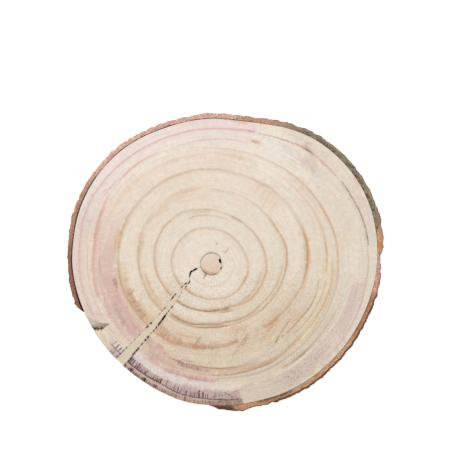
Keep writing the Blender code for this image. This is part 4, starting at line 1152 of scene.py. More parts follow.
def bark_outer(name):
    """Weathered outside: grey-brown ridges, dark fissures deepened by painted shade, moss and lichen."""
    m = Nodes(name)
    x, y, z, r, ux, uy, obj = m.coords()
    macro = m.attr("macro", "Color")
    relief = m.attr("relief")
    moss = m.attr("moss")
    rough = m.noise(m.vec(m.mul(ux, 95.0), m.mul(uy, 95.0), m.mul(z, 260.0)), 1.0, 5.0, 0.65)
    cork = m.noise(obj, 520.0, 4.0, 0.65)
    flake = m.voronoi(m.vec(m.mul(ux, 60.0), m.mul(uy, 60.0), m.mul(z, 170.0)))
    lich = m.noise(obj, 70.0, 5.0, 0.65)
    col = m.shade(macro, m.span(rough, 0.28, 0.72, 0.68, 1.18))
    # the darker bark in the fissures, deepened by painted shade
    col = m.mix(m.span(relief, 0.55, 0.15), col, m.mix(1.0, col, (0.34, 0.26, 0.22), "MULTIPLY"))
    col = m.mix(m.mul(m.span(relief, 0.6, 0.95), 0.5), col, m.mix(0.45, col, tuple(tone((168, 148, 128)))))
    col = m.mix(m.mul(m.span(lich, 0.56, 0.66), 0.5), col, tuple(tone((158, 152, 134))))
    col = m.mix(m.mul(m.span(lich, 0.30, 0.55, 1.0, 0.0), m.mul(moss, 0.9)), col, tuple(tone((92, 96, 56))))
    col = m.mix(m.mul(moss, m.span(cork, 0.5, 0.7, 0.0, 0.6)), col, tuple(tone((120, 122, 78))))
    col = m.shade(col, m.span(cork, 0.25, 0.75, 0.82, 1.1))
    m.put(m.bsdf.inputs["Base Color"], col)
    m.put(m.bsdf.inputs["Roughness"], m.span(cork, 0.3, 0.7, 0.78, 0.95))
    m.bsdf.inputs["Specular IOR Level"].default_value = 0.22
    h = m.add(rough, m.mul(cork, 0.6))
    h = m.add(h, m.mul(flake, 0.5))
    m.put(m.bsdf.inputs["Normal"], m.bump(h, 0.8, 0.0009))
    return m.mat


def pale_insert(name):
    """Pale strip of wood in the crack: short end grain with faint bands, with painted shade along its open edges and
    down its flanks.
    """
    m = Nodes(name)
    x, y, z, r, ux, uy, obj = m.coords()
    a = math.radians(227.0)
    ca, sa = math.cos(a), math.sin(a)
    along = m.add(m.mul(x, ca), m.mul(y, sa))
    across = m.sub(m.mul(y, ca), m.mul(x, sa))
    warp = m.sub(m.noise(obj, 120.0, 2.0), 0.5)
    band = m.noise(m.vec(m.add(m.mul(along, 330.0), m.mul(warp, 1.6)), m.mul(across, 60.0),
                         m.mul(z, 60.0)), 1.0, 3.0, 0.6)
    fibre = m.noise(m.vec(m.mul(along, 120.0), m.mul(across, 700.0), m.mul(z, 40.0)), 1.0, 4.0, 0.6)
    grit = m.noise(obj, 1300.0, 2.0, 0.6)
    mottle = m.noise(obj, 160.0, 3.0, 0.6)
    specks = m.voronoi(obj, 380.0)
    rim = m.span(r, 0.112, 0.128)
    mid = m.span(r, 0.030, 0.070)
    col = m.mix(mid, tuple(tone((228, 214, 195))), tuple(tone((224, 205, 184))))
    col = m.mix(m.span(mottle, 0.45, 0.62), col, tuple(tone((216, 204, 180))))
    col = m.mix(rim, col, tuple(tone((213, 208, 182))))
    col = m.mix(m.mul(m.span(band, 0.52, 0.66), 0.42), col, tuple(tone((203, 178, 148))))
    col = m.shade(col, m.span(fibre, 0.28, 0.72, 0.95, 1.035))
    col = m.mix(m.mul(m.span(specks, 0.16, 0.05), 0.30), col, tuple(tone((150, 120, 92))))
    # painted shade along the top edges beside the open crack
    col = m.mix(m.attr("edge"), col, tuple(tone((92, 66, 50))))
    col = m.shade(col, m.span(grit, 0.25, 0.75, 0.96, 1.03))
    # painted shade down the flanks inside the crack; the underside and the end at the rim keep their colour
    low = m.add(m.span(z, T - 0.0016, T - 0.0005), m.attr("unshaded_face"))
    col = m.mix(low, m.mix(1.0, col, (0.16, 0.12, 0.10), "MULTIPLY"), col)
    m.put(m.bsdf.inputs["Base Color"], col)
    m.put(m.bsdf.inputs["Roughness"], m.span(fibre, 0.3, 0.7, 0.60, 0.78))
    m.bsdf.inputs["Specular IOR Level"].default_value = 0.26
    m.put(m.bsdf.inputs["Normal"], m.bump(m.add(fibre, m.mul(grit, 0.3)), 0.4, 0.0002))
    return m.mat


def plug_material(name):
    """Peach-toned dowel end: faint rings of its own, a darker brown rim as painted shade where it drops into the gap,
    painted shadow in the wide gap on the right and painted shade down its side.
    """
    m = Nodes(name)
    x, y, z, r, ux, uy, obj = m.coords()
    off = m.vec(m.add(x, 0.021), m.sub(y, 0.012), 0.0)
    ln = m.node("ShaderNodeVectorMath", operation="LENGTH")
    m.put(ln.inputs[0], off)
    d = m.add(ln.outputs["Value"], m.mul(m.noise(obj, 160.0, 2.0, 0.5), 0.002))
    rings = m.noise(m.vec(m.mul(d, 620.0), 0.0, 0.0), 1.0, 2.0, 0.5)
    grit = m.noise(obj, 1300.0, 3.0, 0.6)
    mottle = m.noise(obj, 190.0, 3.0, 0.6)
    up = m.span(y, -0.008, 0.009)
    col = m.mix(up, tuple(tone((229, 203, 181))), tuple(tone((227, 211, 194))))
    col = m.shade(col, m.span(rings, 0.3, 0.7, 0.965, 1.02))
    col = m.shade(col, m.span(mottle, 0.3, 0.7, 0.96, 1.03))
    # painted shade on the rim and painted shadow in the gap on the right, with an olive-brown band on the lower left
    e_col, e_a = m.attr4("edge")
    col = m.mix(e_a, col, e_col)
    col = m.shade(col, m.span(grit, 0.25, 0.75, 0.95, 1.03))
    # painted shade down the side inside the hole; the top and the underside keep their colour
    low = m.add(m.span(z, T - 0.0022, T - 0.0008), m.span(z, 0.0020, 0.0006))
    col = m.mix(low, m.mix(1.0, col, (0.12, 0.10, 0.08), "MULTIPLY"), col)
    m.put(m.bsdf.inputs["Base Color"], col)
    m.put(m.bsdf.inputs["Roughness"], m.span(grit, 0.3, 0.7, 0.6, 0.78))
    m.bsdf.inputs["Specular IOR Level"].default_value = 0.28
    m.put(m.bsdf.inputs["Normal"], m.bump(m.add(rings, grit), 0.35, 0.0002))
    return m.mat


# --------------------------------------------------------------------- wood
def ring_radii(deg):
    """Distance from the pith of the hole edge, the six rings and the rim."""
    rows = [hole_reach(deg)]
    for k, st in enumerate(RINGS):
        rows.append(closed(st, deg) * U)
    rows.append(reach(deg))
    return np.stack(rows)


def radius_of(u, deg):
    keys = ring_radii(deg)
    k = np.clip(np.floor(u).astype(int), 0, 6)
    f = u - k
    cols = np.arange(keys.shape[1])
    return keys[k, cols] * (1 - f) + keys[k + 1, cols] * f


def chip(deg, r):
    """Broken-out chip beside the rim split: depth, share of the slope walked, how
    much of the dark ragged wall shows, and the chip's outline."""
    d = np.mod(deg, 360.0)
    rr = r / U
    up = np.interp(rr, (119.5, 121.0, 125.0, 128.0, 130.5, 133.0, 136.0),
                   (210.1, 209.7, 208.3, 207.0, 205.9, 204.3, 202.6))
    up = up + (fbm(rr / 1.7, 0.3, 401, 3) - 0.5) * 0.8
    wall = np.interp(rr, (119.5, 123.0, 127.0, 131.0, 136.0), (210.35, 210.1, 209.6, 209.35, 209.2))
    wall = wall + (fbm(rr / 1.3, 4.3, 402, 3) - 0.5) * 0.5
    right = np.interp(rr, (119.5, 122.0, 126.0, 129.5, 132.5, 136.0), (210.5, 210.8, 211.2, 211.1, 210.3, 209.4))
    right = right + (fbm(rr / 1.1, 9.3, 405, 3) - 0.5) * 1.1
    f = np.clip((d - up) / np.maximum(wall - up, 0.05), 0, 1)
    g = np.clip((d - wall) / np.maximum(right - wall, 0.05), 0, 1)
    deep = np.interp(rr, (119.0, 121.5, 126.0, 131.0, 136.0), (0.6, 1.5, 2.7, 3.5, 4.0)) * MM
    rough = (fbm(d * 2.2, rr / 1.6, 403, 3) - 0.5) * 0.9 * MM
    slope = deep * (0.16 + 0.84 * f ** 1.15) + rough
    back = deep * (1 - g) ** 0.8 * 0.9
    inside = sstep(0.0, 0.30, d - up) * (d <= wall) + (d > wall) * (1 - sstep(0.85, 1.0, g))
    depth = np.where(d <= wall, slope, back) * inside * (rr > 119.2)
    return np.maximum(depth, 0.0), f, np.where(d > wall, inside, 0.0) * (rr > 119.2), inside * (rr > 119.2)


def groove(deg, r, a0, a1, r0, r1, width, depth, seed):
    """Short radial check: V groove from r0 to r1 (units U) along a bearing."""
    f = np.clip((r / U - r0) / (r1 - r0), 0, 1)
    mid = a0 + (a1 - a0) * f + (vnoise(r / (1.4 * MM), 0.0, seed) - 0.5) * 2.4
    off = np.radians(np.mod(deg - mid + 180, 360) - 180) * r
    w = width * MM * (0.55 + 0.9 * vnoise(r / (1.1 * MM), 3.0, seed + 1)) / 2
    ends = sstep(r0 - 0.6, r0 + 0.8, r / U) * (1 - sstep(r1 - 0.8, r1 + 0.6, r / U))
    return depth * MM * np.clip(1 - np.abs(off) / np.maximum(w, 1e-6), 0, 1) * ends


LEVELS = (0.985, 0.955, 0.90, 0.76, 0.55, 0.32, 0.12, 0.03, 0.0)
RIM_WEAR = (0.62, 0.25, 0.06, 0.0, 0.0, 0.0, 0.03, 0.35, 0.95)


def build_wood():
    counts = (25, 14, 15, 16, 22, 18, 8)
    rows_u = np.array([k + i / c for k, c in enumerate(counts) for i in range(c)] + [7.0])
    nt = len(rows_u)
    r_mouth = float(reach(227.0))
    hi0 = float(crack_edge(r_mouth, 1))
    lo0 = float(crack_edge(r_mouth, -1)) + 360.0
    cols = np.arange(hi0, lo0, 0.72)
    cols = cols[(cols < 562.3) | (cols > 573.0)]
    cols = np.sort(np.concatenate([cols, np.arange(562.5, 572.9, 0.24), [lo0]]))
    cols = cols[np.concatenate([[True], np.diff(cols) > 0.06])]
    s = (cols - hi0) / (lo0 - hi0)
    s[0], s[-1] = 0.0, 1.0
    nc = len(s)

    def place(u_value, height):
        """Bearings and distances of one row of constant ring coordinate."""
        u = np.full(nc, float(u_value))
        r_hi = float(radius_of(u[:1], cols[:1])[0])
        r_lo = float(radius_of(u[-1:], cols[-1:])[0])
        for _ in range(2):
            hi = float(crack_edge(r_hi, 1, height))
            lo = float(crack_edge(r_lo, -1, height)) + 360.0
            r_hi = float(radius_of(u[:1], np.array([hi]))[0])
            r_lo = float(radius_of(u[-1:], np.array([lo]))[0])
        deg = hi + (lo - hi) * s
        return deg, radius_of(u, deg)

    wear = 0.45 * MM
    top = [place(v, 1.0) for v in rows_u]
    top_deg, top_r = np.array([t[0] for t in top]), np.array([t[1] for t in top])
    top_r[-1] -= wear
    chip_d, chip_f, chip_w, chip_in = chip(top_deg, top_r)
    check = (groove(top_deg, top_r, 243.0, 243.0, 11.0, 17.0, 1.3, 0.9, 501)
             + groove(top_deg, top_r, 398.5, 402.6, 17.5, 24.0, 0.9, 0.5, 511)
             + groove(top_deg, top_r, 396.0, 399.0, 15.0, 19.0, 0.8, 0.35, 513))
    ripple = (fbm(top_deg / 5.0, top_r / (7 * MM), 601, 3) - 0.5) * 0.10 * MM
    top_z = T - np.maximum(chip_d, check) + np.minimum(ripple, 0.0)

    all_r, all_deg, all_z, all_u = [top_r], [top_deg], [top_z], [np.repeat(rows_u[:, None], nc, 1)]
    z_edge = top_z[-1]
    side_r, side_z, side_d = [], [], []
    for h, cut in zip(LEVELS, RIM_WEAR):
        dg, full = place(7.0, h)
        grain = (fbm(dg * 1.5, h * 1.6, 611, 3) - 0.5) * 0.35 * MM
        rr = full - wear * cut + grain * (1 if 0.05 < h < 0.97 else 0)
        rr = rr - np.exp(-((np.mod(dg, 360) - 209.4) / 0.5) ** 2) * 0.9 * MM * sstep(0.1, 0.9, h)
        side_r.append(rr)
        side_z.append(h * z_edge)
        side_d.append(dg)
    all_r.append(np.array(side_r)); all_z.append(np.array(side_z)); all_deg.append(np.array(side_d))
    all_u.append(np.full((len(LEVELS), nc), 7.0))
    rows_b = [v for i, v in enumerate(rows_u[::-1][1:]) if i % 4 == 3]
    if rows_b[-1] != 0.0:
        rows_b.append(0.0)
    bot = [place(v, 0.0) for v in rows_b]
    all_deg.append(np.array([b[0] for b in bot])); all_r.append(np.array([b[1] for b in bot]))
    all_z.append(np.zeros((len(rows_b), nc))); all_u.append(np.repeat(np.array(rows_b)[:, None], nc, 1))
    hole = [place(0.0, h) for h in LEVELS[:-1][::-1]]
    all_deg.append(np.array([b[0] for b in hole])); all_r.append(np.array([b[1] for b in hole]))
    all_z.append(np.repeat((np.array(LEVELS[:-1][::-1]) * T)[:, None], nc, 1))
    all_u.append(np.zeros((len(hole), nc)))

    R, D, Z, UU = (np.concatenate(v) for v in (all_r, all_deg, all_z, all_u))
    rows = len(R)
    ns, nb, nh = len(LEVELS), len(rows_b), len(hole)

    def xyz(r, d, z):
        lean = LEAN * (1 - z / T) * 0.7 * np.clip(r / (60 * MM), 0, 1)
        return np.stack([r * np.cos(np.radians(d)) + PITH[0] + lean,
                         r * np.sin(np.radians(d)) + PITH[1] - lean, z], -1)

    verts = xyz(R, D, Z).reshape(-1, 3)
    quads = grid_faces(rows, nc)
    last = grid_faces(2, nc)
    last = np.where(last >= nc, last - nc, last + (rows - 1) * nc)
    faces = np.concatenate([quads, last]).tolist()
    idx = np.arange(rows)
    kind = np.where(idx < nt - 1, 0, np.where(idx < nt + ns - 1, 1, np.where(idx < nt + ns + nb - 1, 2, 3)))
    mats = np.repeat(kind, nc - 1).tolist()

    # walls of the crack: one column of levels under every top row
    extra_v, extra_d, extra_r = [], [], []
    base = len(verts)
    for j, side in ((0, 1), (nc - 1, -1)):
        grid = np.zeros((ns, nt), int)           # level 0 is the top row itself
        grid[0] = np.arange(nt) * nc + j
        for k, h in enumerate(LEVELS[:-1]):
            r_in = R[1:nt - 1, j]
            d_in = crack_edge(r_in, side, h) + (0 if side > 0 else 360)
            tear = (fbm(r_in / (2.2 * MM), h * 6, 640 + side, 3) - 0.5) * 0.30 * MM * sstep(1.0, 0.9, h)
            d_in = d_in + side * np.degrees(np.maximum(tear, 0) / r_in)
            start = base + len(extra_r)
            extra_v += xyz(r_in, d_in, np.full(nt - 2, h * T)).tolist()
            extra_d += d_in.tolist()
            extra_r += r_in.tolist()
            grid[k + 1, 1:nt - 1] = np.arange(start, start + nt - 2)
            grid[k + 1, nt - 1] = (nt + k) * nc + j
            grid[k + 1, 0] = (rows - 1 - k) * nc + j
        for k in range(ns - 1):
            for i in range(nt - 1):
                faces.append([int(grid[k, i]), int(grid[k, i + 1]), int(grid[k + 1, i + 1]), int(grid[k + 1, i])])
                mats.append(3)
        a_ids = grid[ns - 1][::-1].tolist()
        key_r = np.concatenate([R.ravel(), np.array(extra_r)])
        b_ids = [(nt + ns - 1) * nc + j] + [(nt + ns + i) * nc + j for i in range(nb)]
        tri = zipper(a_ids, [key_r[v] for v in a_ids], b_ids, [key_r[v] for v in b_ids])
        faces += [list(map(int, t)) for t in tri]
        mats += [3] * len(tri)

    verts = np.concatenate([verts, np.array(extra_v)])
    d2 = np.concatenate([D.ravel(), extra_d])
    r2 = np.concatenate([R.ravel(), extra_r])
    u2 = np.concatenate([UU.ravel(), np.full(len(extra_r), 3.0)])
    n = len(verts)
    topm = np.zeros(n, bool)
    topm[:nt * nc] = True
    sidem = np.zeros(n, bool)
    sidem[nt * nc:(nt + ns) * nc] = True

    base_col, layers = paint(d2, r2)
    sd = d2[sidem]
    side_col = np.empty((sidem.sum(), 3))
    side_col[:] = tone((198, 160, 132))
    sz = np.asarray(verts)[sidem, 2] / T
    w = window(sd, 222, 283, 3, 2)[:, None]
    side_col = side_col * (1 - w) + tone((166, 126, 104)) * w
    w = (sstep(0.50, 0.66, fbm(sd / 2.2, sz * 1.1, 671, 3)) * 0.55)[:, None]
    side_col = side_col * (1 - w) + tone((204, 170, 138)) * w
    w = (sstep(0.54, 0.68, fbm(sd / 1.4, sz * 0.8 + 7, 672, 3)) * 0.60)[:, None]
    side_col = side_col * (1 - w) + tone((128, 88, 72)) * w
    w = (window(sd, 203, 210, 2, .5) * sstep(0.30, 0.80, sz + (fbm(sd / 0.8, sz, 673, 3) - 0.5) * 0.7))[:, None]
    side_col = side_col * (1 - w) + tone((170, 164, 140)) * w
    base_col[sidem] = side_col

    attrs = {"macro": ("COLOR", base_col), "deg": ("FLOAT", d2), "ring": ("FLOAT", u2)}
    for key in ("F", "G"):
        mask, colour = layers[key]
        attrs["stain_" + key.lower()] = ("COLOR", np.concatenate([colour, mask[:, None]], 1))
    cm, cc = cross_layer(d2, r2)
    attrs["cross"] = ("COLOR", np.concatenate([cc, cm[:, None]], 1))
    chans = stroke_layers(d2, r2)
    for k, (dist, fall, amp, col, brk) in enumerate(chans):
        attrs["sd%d" % k] = ("VECTOR", np.column_stack([dist, fall]))
        attrs["ln%d" % k] = ("COLOR", np.concatenate([col, amp[:, None]], 1))
        attrs["bk%d" % k] = ("FLOAT", brk)

    # ticks: depth below the belt line and below the rim, in mm
    belt = [p for ch in stroke_paths() for p in ch if p[0] == "belt"][0]
    belt_u = np.interp(d2, belt[5], belt[6])
    belt_u = np.where(d2 > 560, 128.6, belt_u)
    dm = np.mod(d2, 360)
    below = (belt_u - r2 / U) * 0.95
    rim = (reach(d2) - r2) * 1000.0
    ta = np.interp(dm, (217, 219.5, 221.5, 224.6, 226, 229.2, 236, 240, 247, 249, 252, 256, 268, 272, 273),
                   (0, .35, .8, .6, .6, 1, .8, .9, .95, .35, .5, .75, .75, .3, 0))
    tb = np.interp(dm, (217, 219, 221, 225, 229, 240, 247, 255, 266, 270, 271),
                   (0, .2, .7, .6, 1, .9, .85, .6, .55, .5, 0))
    worm = (np.interp(dm, (270.2, 271.2, 281.8, 282.4), (0, 1, .9, 0)) * sstep(128.5, 130, r2 / U)
            * (1 - sstep(143.5, 145.5, r2 / U)))
    worm2 = (np.interp(dm, (298, 303, 321, 328), (0, .75, .6, 0)) * sstep(131, 134, r2 / U)
             * (1 - sstep(143.5, 147, r2 / U)))
    worm3 = np.interp(dm, (326, 336, 351, 353), (0, .3, .35, 0)) * sstep(139, 142, r2 / U) * (
        1 - sstep(147, 151, r2 / U))
    tc = np.tile(tone((56, 34, 32)), (n, 1))
    wpl = window(d2, 249, 271, 6, 3)[:, None] * 0.62
    tc = tc * (1 - wpl) + tone((128, 94, 110)) * wpl
    wpl = window(d2, 217, 226, 1, 1)[:, None] * 0.45
    tc = tc * (1 - wpl) + tone((120, 84, 106)) * wpl
    wpl = window(d2, 290, 356, 6, 3)[:, None]
    tc = tc * (1 - wpl) + tone((132, 112, 104)) * wpl
    attrs["tick"] = ("VECTOR", np.column_stack([below, rim, np.clip(worm + worm2 + worm3, 0, 1)]))
    attrs["tick_a"] = ("FLOAT", ta)
    attrs["tick_b"] = ("FLOAT", tb)
    attrs["tick_c"] = ("COLOR", tc)

    # stains and painted shade on the face: painted shade along the open crack, on the chip, in the split and in the
    # small cracks; stain marks round the plug and a darker band at the hole's edge
    cd, cf, cw, cin = chip(d2, r2)
    dirt_and_shade = np.zeros(n)
    dirt_and_shade_colour = np.tile(tone((70, 50, 36)), (n, 1))

    def lay_dirt_and_shade(weight, colour):
        nonlocal dirt_and_shade
        weight = np.clip(np.where(topm, weight, 0), 0, 1)
        take = weight > dirt_and_shade * 0.98
        dirt_and_shade_colour[take] = (np.broadcast_to(colour, (n, 3)))[take]
        dirt_and_shade = np.maximum(dirt_and_shade, weight)

    # painted shade along both edges of the crack: beside the wedge where it stands open, and along the bare crack near
    # the pith
    for side in (-1, 1):
        br = crack_edge(r2, side)
        off = np.abs(np.radians(turn(d2, 0) - turn(br, 0))) * r2
        op = opening(r2, side) * (r2 / U > 27.5)
        edge = np.exp(-(off / (0.55 * MM)) ** 2) * np.clip(op / (0.7 * MM), 0, 1) * 0.75
        bare = np.exp(-(off / (0.5 * MM)) ** 2) * ((r2 / U < 26.5) & (r2 / U > 14.8)) * 0.6
        lay_dirt_and_shade(np.maximum(edge, bare), tone((84, 58, 44)))
    # the chip's slope: greenish-grey wood, with painted shade darkening it toward the deep wall and near black at the
    # deepest; pinker near its inner end
    slope = cin * (1 - cw) * (r2 / U > 119.2)
    mottle = 0.75 + 0.5 * fbm(d2 * 1.6, r2 / (1.6 * MM), 655, 3)
    fall = np.clip(cf ** 2.4 * mottle, 0, 1)[:, None]
    scol = tone((206, 202, 180)) * (1 - fall) + tone((128, 124, 92)) * fall
    scol = np.where((cf * mottle > 0.86)[:, None], tone((70, 62, 42)), scol)
    low = 0.85 * (1 - sstep(127.5, 133.5, r2 / U + 1.5 * mottle))[:, None]
    scol = scol * (1 - low) + tone((204, 174, 152)) * low
    lay_dirt_and_shade(slope * 0.95, scol)
    # the ragged back wall of the split: dark brown torn wood, deepened by painted shade
    rag = sstep(0.36, 0.60, fbm(d2 * 2.6, r2 / (1.2 * MM), 660, 3))
    lay_dirt_and_shade(np.clip(cw * (0.30 + 0.8 * rag), 0, 1), tone((74, 46, 32)))
    # painted shade at the deep inner tip of the split
    tip = np.exp(-((turn(d2, 210.4) * r2 / U / 57.3 / 0.9) ** 2 + ((r2 / U - 120.6) / 1.6) ** 2))
    lay_dirt_and_shade(tip * 0.85, tone((70, 44, 34)))
    # painted shade in the small cracks, darker the deeper they are
    g = np.zeros(n)
    g[:nt * nc] = check.ravel()
    lay_dirt_and_shade(np.clip(g / (0.6 * MM), 0, 1) * 0.75, tone((124, 104, 76)))
    px, py = r2 * np.cos(np.radians(d2)) / U, r2 * np.sin(np.radians(d2)) / U
    lay_dirt_and_shade(np.exp(-(((px - 5.5) ** 2 + (py - 19.8) ** 2) / 1.3)) * 0.55, tone((150, 118, 96)))
    lay_dirt_and_shade(np.exp(-(((px - 4.4) / 1.6) ** 2 + ((py - 10.9) / 0.9) ** 2)) * 0.35, tone("olive"))
    lay_dirt_and_shade(np.exp(-(((px + 5.4) / 2.0) ** 2 + ((py + 11.2) / 1.2) ** 2)) * 0.55, tone((122, 104, 70)))
    lay_dirt_and_shade(np.exp(-(((px - 12.8) / 2.6) ** 2 + ((py - 12.2) / 0.6) ** 2)) * 0.35, tone("rust"))
    spot = np.exp(-((turn(d2, 49.8) / 2.5) ** 2 + ((r2 / U - 149.2 + turn(d2, 49.8) * 0.25) / 1.35) ** 2))
    lay_dirt_and_shade(spot * 0.80, tone((150, 84, 76)))
    hole_edge = np.exp(-((r2 - hole_reach(d2)) / (0.85 * MM)) ** 2)
    ring_w = (0.30 + 0.5 * window(d2, 200, 300, 30, 30) + 0.35 * window(d2, 80, 160, 20, 30))
    lay_dirt_and_shade(hole_edge * ring_w, tone((146, 124, 86)))
    attrs["dirt_and_shade"] = ("COLOR", np.concatenate([dirt_and_shade_colour, dirt_and_shade[:, None]], 1))

    obj = make_object("wood_disc", verts, faces,
                      [end_grain("end_grain_top", len(chans)), bare_side("bare_rim"),
                       end_grain("end_grain_under", len(chans), True),
                       # crack walls and the pith-hole wall: sawn-face colour on top, painted shade below
                       crack_wall("crack_wall", tone((120, 92, 68)), tone((40, 28, 22)))],
                      mats, attrs)
    return obj


# --------------------------------------------------------------------- bark
def bark_tint(deg):
    """Colour of the sawn bark edge: salmon with orange, red-brown and dark runs."""
    d = np.asarray(deg, float)
    col = np.empty(d.shape + (3,))
    col[:] = tone((200, 150, 122))
    for c, a0, a1, s0, s1, k in (((222, 178, 160), 76, 150, 14, 24, 1.0), ((190, 142, 118), 148, 178, 16, 12, .9),
                                 ((168, 118, 94), 172, 201, 14, 2, 1.0), ((164, 112, 88), 190, 202, 8, 1, .6),
                                 ((212, 158, 116), 4, 11.5, 2, 3, .9), ((176, 148, 128), 12, 65, 4, 8, .9),
                                 ((194, 152, 126), 66, 78, 6, 8, .9), ((136, 102, 80), 268, 279, 1, 4, 1.0),
                                 ((196, 148, 108), 279, 292, 3, 6, .9), ((178, 132, 98), 290, 302, 6, 6, .8),
                                 ((208, 160, 124), 302, 334, 6, 8, 1.0), ((196, 138, 106), 332, 350, 6, 5, .9),
                                 ((214, 166, 144), 350, 364, 4, 2, 1.0)):
        w = window(d, a0, a1, s0, s1)[..., None] * k
        col = col * (1 - w) + tone(c) * w
    return col


def build_bark():
    a0, a1 = BARK_START, BARK_END + 361.3
    n = int(round((a1 - a0) / 0.24))
    deg = np.linspace(a0, a1, n + 1)
    nc = len(deg)
    d360 = np.mod(deg, 360)
    wood = reach(deg)
    depth = bark_outer_reach(deg) - wood
    depth = depth * (0.30 + 0.70 * sstep(0.0, 3.0, np.where(d360 > 250, d360 - BARK_START, 9)))
    tail = np.where(d360 < 250, np.clip((BARK_END + 1.3 - d360) / 2.9, 0.0, 1.0), 1.0) ** 0.8
    depth = np.maximum(depth * tail, 0.75 * MM)
    # the bark has lifted off the wood on the upper left
    lift = 0.52 * MM * np.maximum.reduce([
        0.95 * window(deg, 105, 116, 4, 4), 0.80 * window(deg, 114, 137, 4, 6), 0.55 * window(deg, 76, 200, 8, 8),
        0.95 * window(deg, 142, 166, 6, 6), 0.75 * window(deg, 164, 199, 5, 1)])
    lift = lift * (0.45 + 1.0 * fbm(deg / 2.6, 0.0, 701, 3)) * (1 - 0.6 * window(deg, 136, 143, 2, 2)) * (
        1 - 0.5 * window(deg, 98, 105, 3, 3))
    peel = 1.15 * MM * sstep(184.0, 200.0, np.where(d360 < 250, d360, 0))
    gap = np.where(window(deg, 74, 201.5, 6, .5) > 0.02, np.maximum(lift, peel), -0.35 * MM)
    gap = np.minimum(gap, depth - 0.55 * MM)
    outer = wood + depth
    rows_r, rows_z, part, dep = [], [], [], []

    def add(r, z, kind, dd):
        rows_r.append(r)
        rows_z.append(np.broadcast_to(z, r.shape).astype(float))
        part.append(kind)
        dep.append(np.broadcast_to(dd, r.shape).astype(float))

    # worn outer edge; on the lower right the rough outside shows as a dark slope
    slope_side = window(deg, 268, 352, 3, 10) * (1 - 0.85 * window(deg, 280, 294, 2, 2))
    rag = fbm(deg * 1.1, 1.0, 711, 4)
    rag2 = fbm(deg * 2.6, 7.0, 713, 3)
    wear = (0.50 + 0.50 * slope_side * (0.3 + 1.4 * rag2)) * MM
    wear = np.minimum(wear, depth * 0.55)
    inner = wood + gap
    top_z = T - 0.12 * MM - 0.30 * MM * fbm(deg / 1.7, 0.0, 721, 3)
    for k, f in enumerate((0.0, 0.12, 0.27, 0.42, 0.57, 0.72, 0.86)):
        rr = inner + (outer - wear * (0.75 + 0.5 * rag) - inner) * f
        zz = top_z - (0.15 * MM if k == 0 else 0) - 0.55 * MM * (
            fbm(deg * 1.4, f * 4.0, 731, 4) ** 1.3) - 0.25 * MM * sstep(0.7, 1.0, f) * rag2
        add(rr, zz, 0, f)
    heights = np.concatenate([[0.982, 0.95, 0.915], np.linspace(0.87, 0.09, 20), [0.05, 0.022, 0.006]])
    prof_h = (0.0, 0.06, 0.32, 0.78, 0.93, 1.0)
    prof_c = (0.80, 0.25, 0.0, 0.02, 0.45, 1.0)
    arc = np.radians(deg) * 150.0
    relief_rows = {}
    for h in heights:
        cut = np.interp(h, prof_h, prof_c)
        zmm = h * 25.0
        warp = (fbm(arc / 9.0, zmm / 11.0, 741, 3) - 0.5) * 3.2
        ridge = 1 - np.abs(2 * fbm((arc + warp) / 4.6, zmm / 17.0, 751, 3) - 1)
        ridge = sstep(0.62, 0.98, ridge)
        plates = fbm(arc / 2.3, zmm / 4.2, 761, 4)
        grit = fbm(arc / 0.9, zmm / 1.1, 771, 3)
        rel = -1.05 * ridge + (plates - 0.5) * 1.0 + (grit - 0.5) * 0.5
        fade = sstep(0.0, 2.2 * MM, depth - 0.4 * MM)
        swell = 0.25 * MM * slope_side * sstep(1.0, 0.6, h) * sstep(0.05, 0.35, h)
        rr = outer - wear * cut * (0.6 + 0.8 * rag) + rel * 0.55 * MM * (0.25 + 0.75 * fade) + swell
        rr = np.maximum(rr, inner + 0.35 * MM)
        add(rr, h * (T - 0.5 * MM), 1, 1.0)
        relief_rows[len(rows_r) - 1] = 1 - ridge * 0.85 - (0.5 - plates) * 0.6
    for f in (0.9, 0.6, 0.3, 0.0):
        rr = inner + (outer - wear * 0.9 - inner) * f
        add(rr, 0.12 * MM + 0.25 * MM * fbm(deg * 1.2, f * 4, 781, 3), 2, f)
    for h in (0.12, 0.35, 0.6, 0.8, 0.93):
        squeeze = sstep(0.15, 0.8, h)
        add(wood + gap * squeeze - 0.35 * MM * (1 - squeeze), h * T, 3, 0.0)

    R, Z, DEP = np.array(rows_r), np.array(rows_z), np.array(dep)
    rows = len(R)
    D = np.repeat(deg[None], rows, 0)
    lean = LEAN * (1 - Z / T) * 0.7
    X = R * np.cos(np.radians(D)) + PITH[0] + lean
    Y = R * np.sin(np.radians(D)) + PITH[1] - lean
    verts = np.stack([X, Y, Z], -1).reshape(-1, 3)
    quads = grid_faces(rows, nc)
    last = grid_faces(2, nc)
    last = np.where(last >= nc, last - nc, last + (rows - 1) * nc)
    part = np.array(part)
    kind = np.where(part == 0, 0, np.where(part == 1, 1, np.where(part == 2, 0, 2)))
    face_mat = np.repeat(kind, nc - 1).tolist()
    faces = np.concatenate([quads, last]).tolist()
    for j in (0, nc - 1):
        loop = [(R[i, j], Z[i, j]) for i in range(rows)]
        cap = cap_faces(loop, [i * nc + j for i in range(rows)])
        faces += [list(map(int, t)) for t in cap]
        face_mat += [1 if j else 0] * len(cap)
    dr = D.ravel()
    dep_r = DEP.ravel()
    tint = bark_tint(dr)
    relief = np.full((rows, nc), 0.7)
    for i, v in relief_rows.items():
        relief[i] = v
    moss_out = window(deg, 8, 62, 6, 10) * 0.95 + 0.25 * window(deg, 275, 300, 6, 6)
    outside = np.zeros((rows, nc))
    outside[part == 1] = 1.0
    o = outside.ravel()
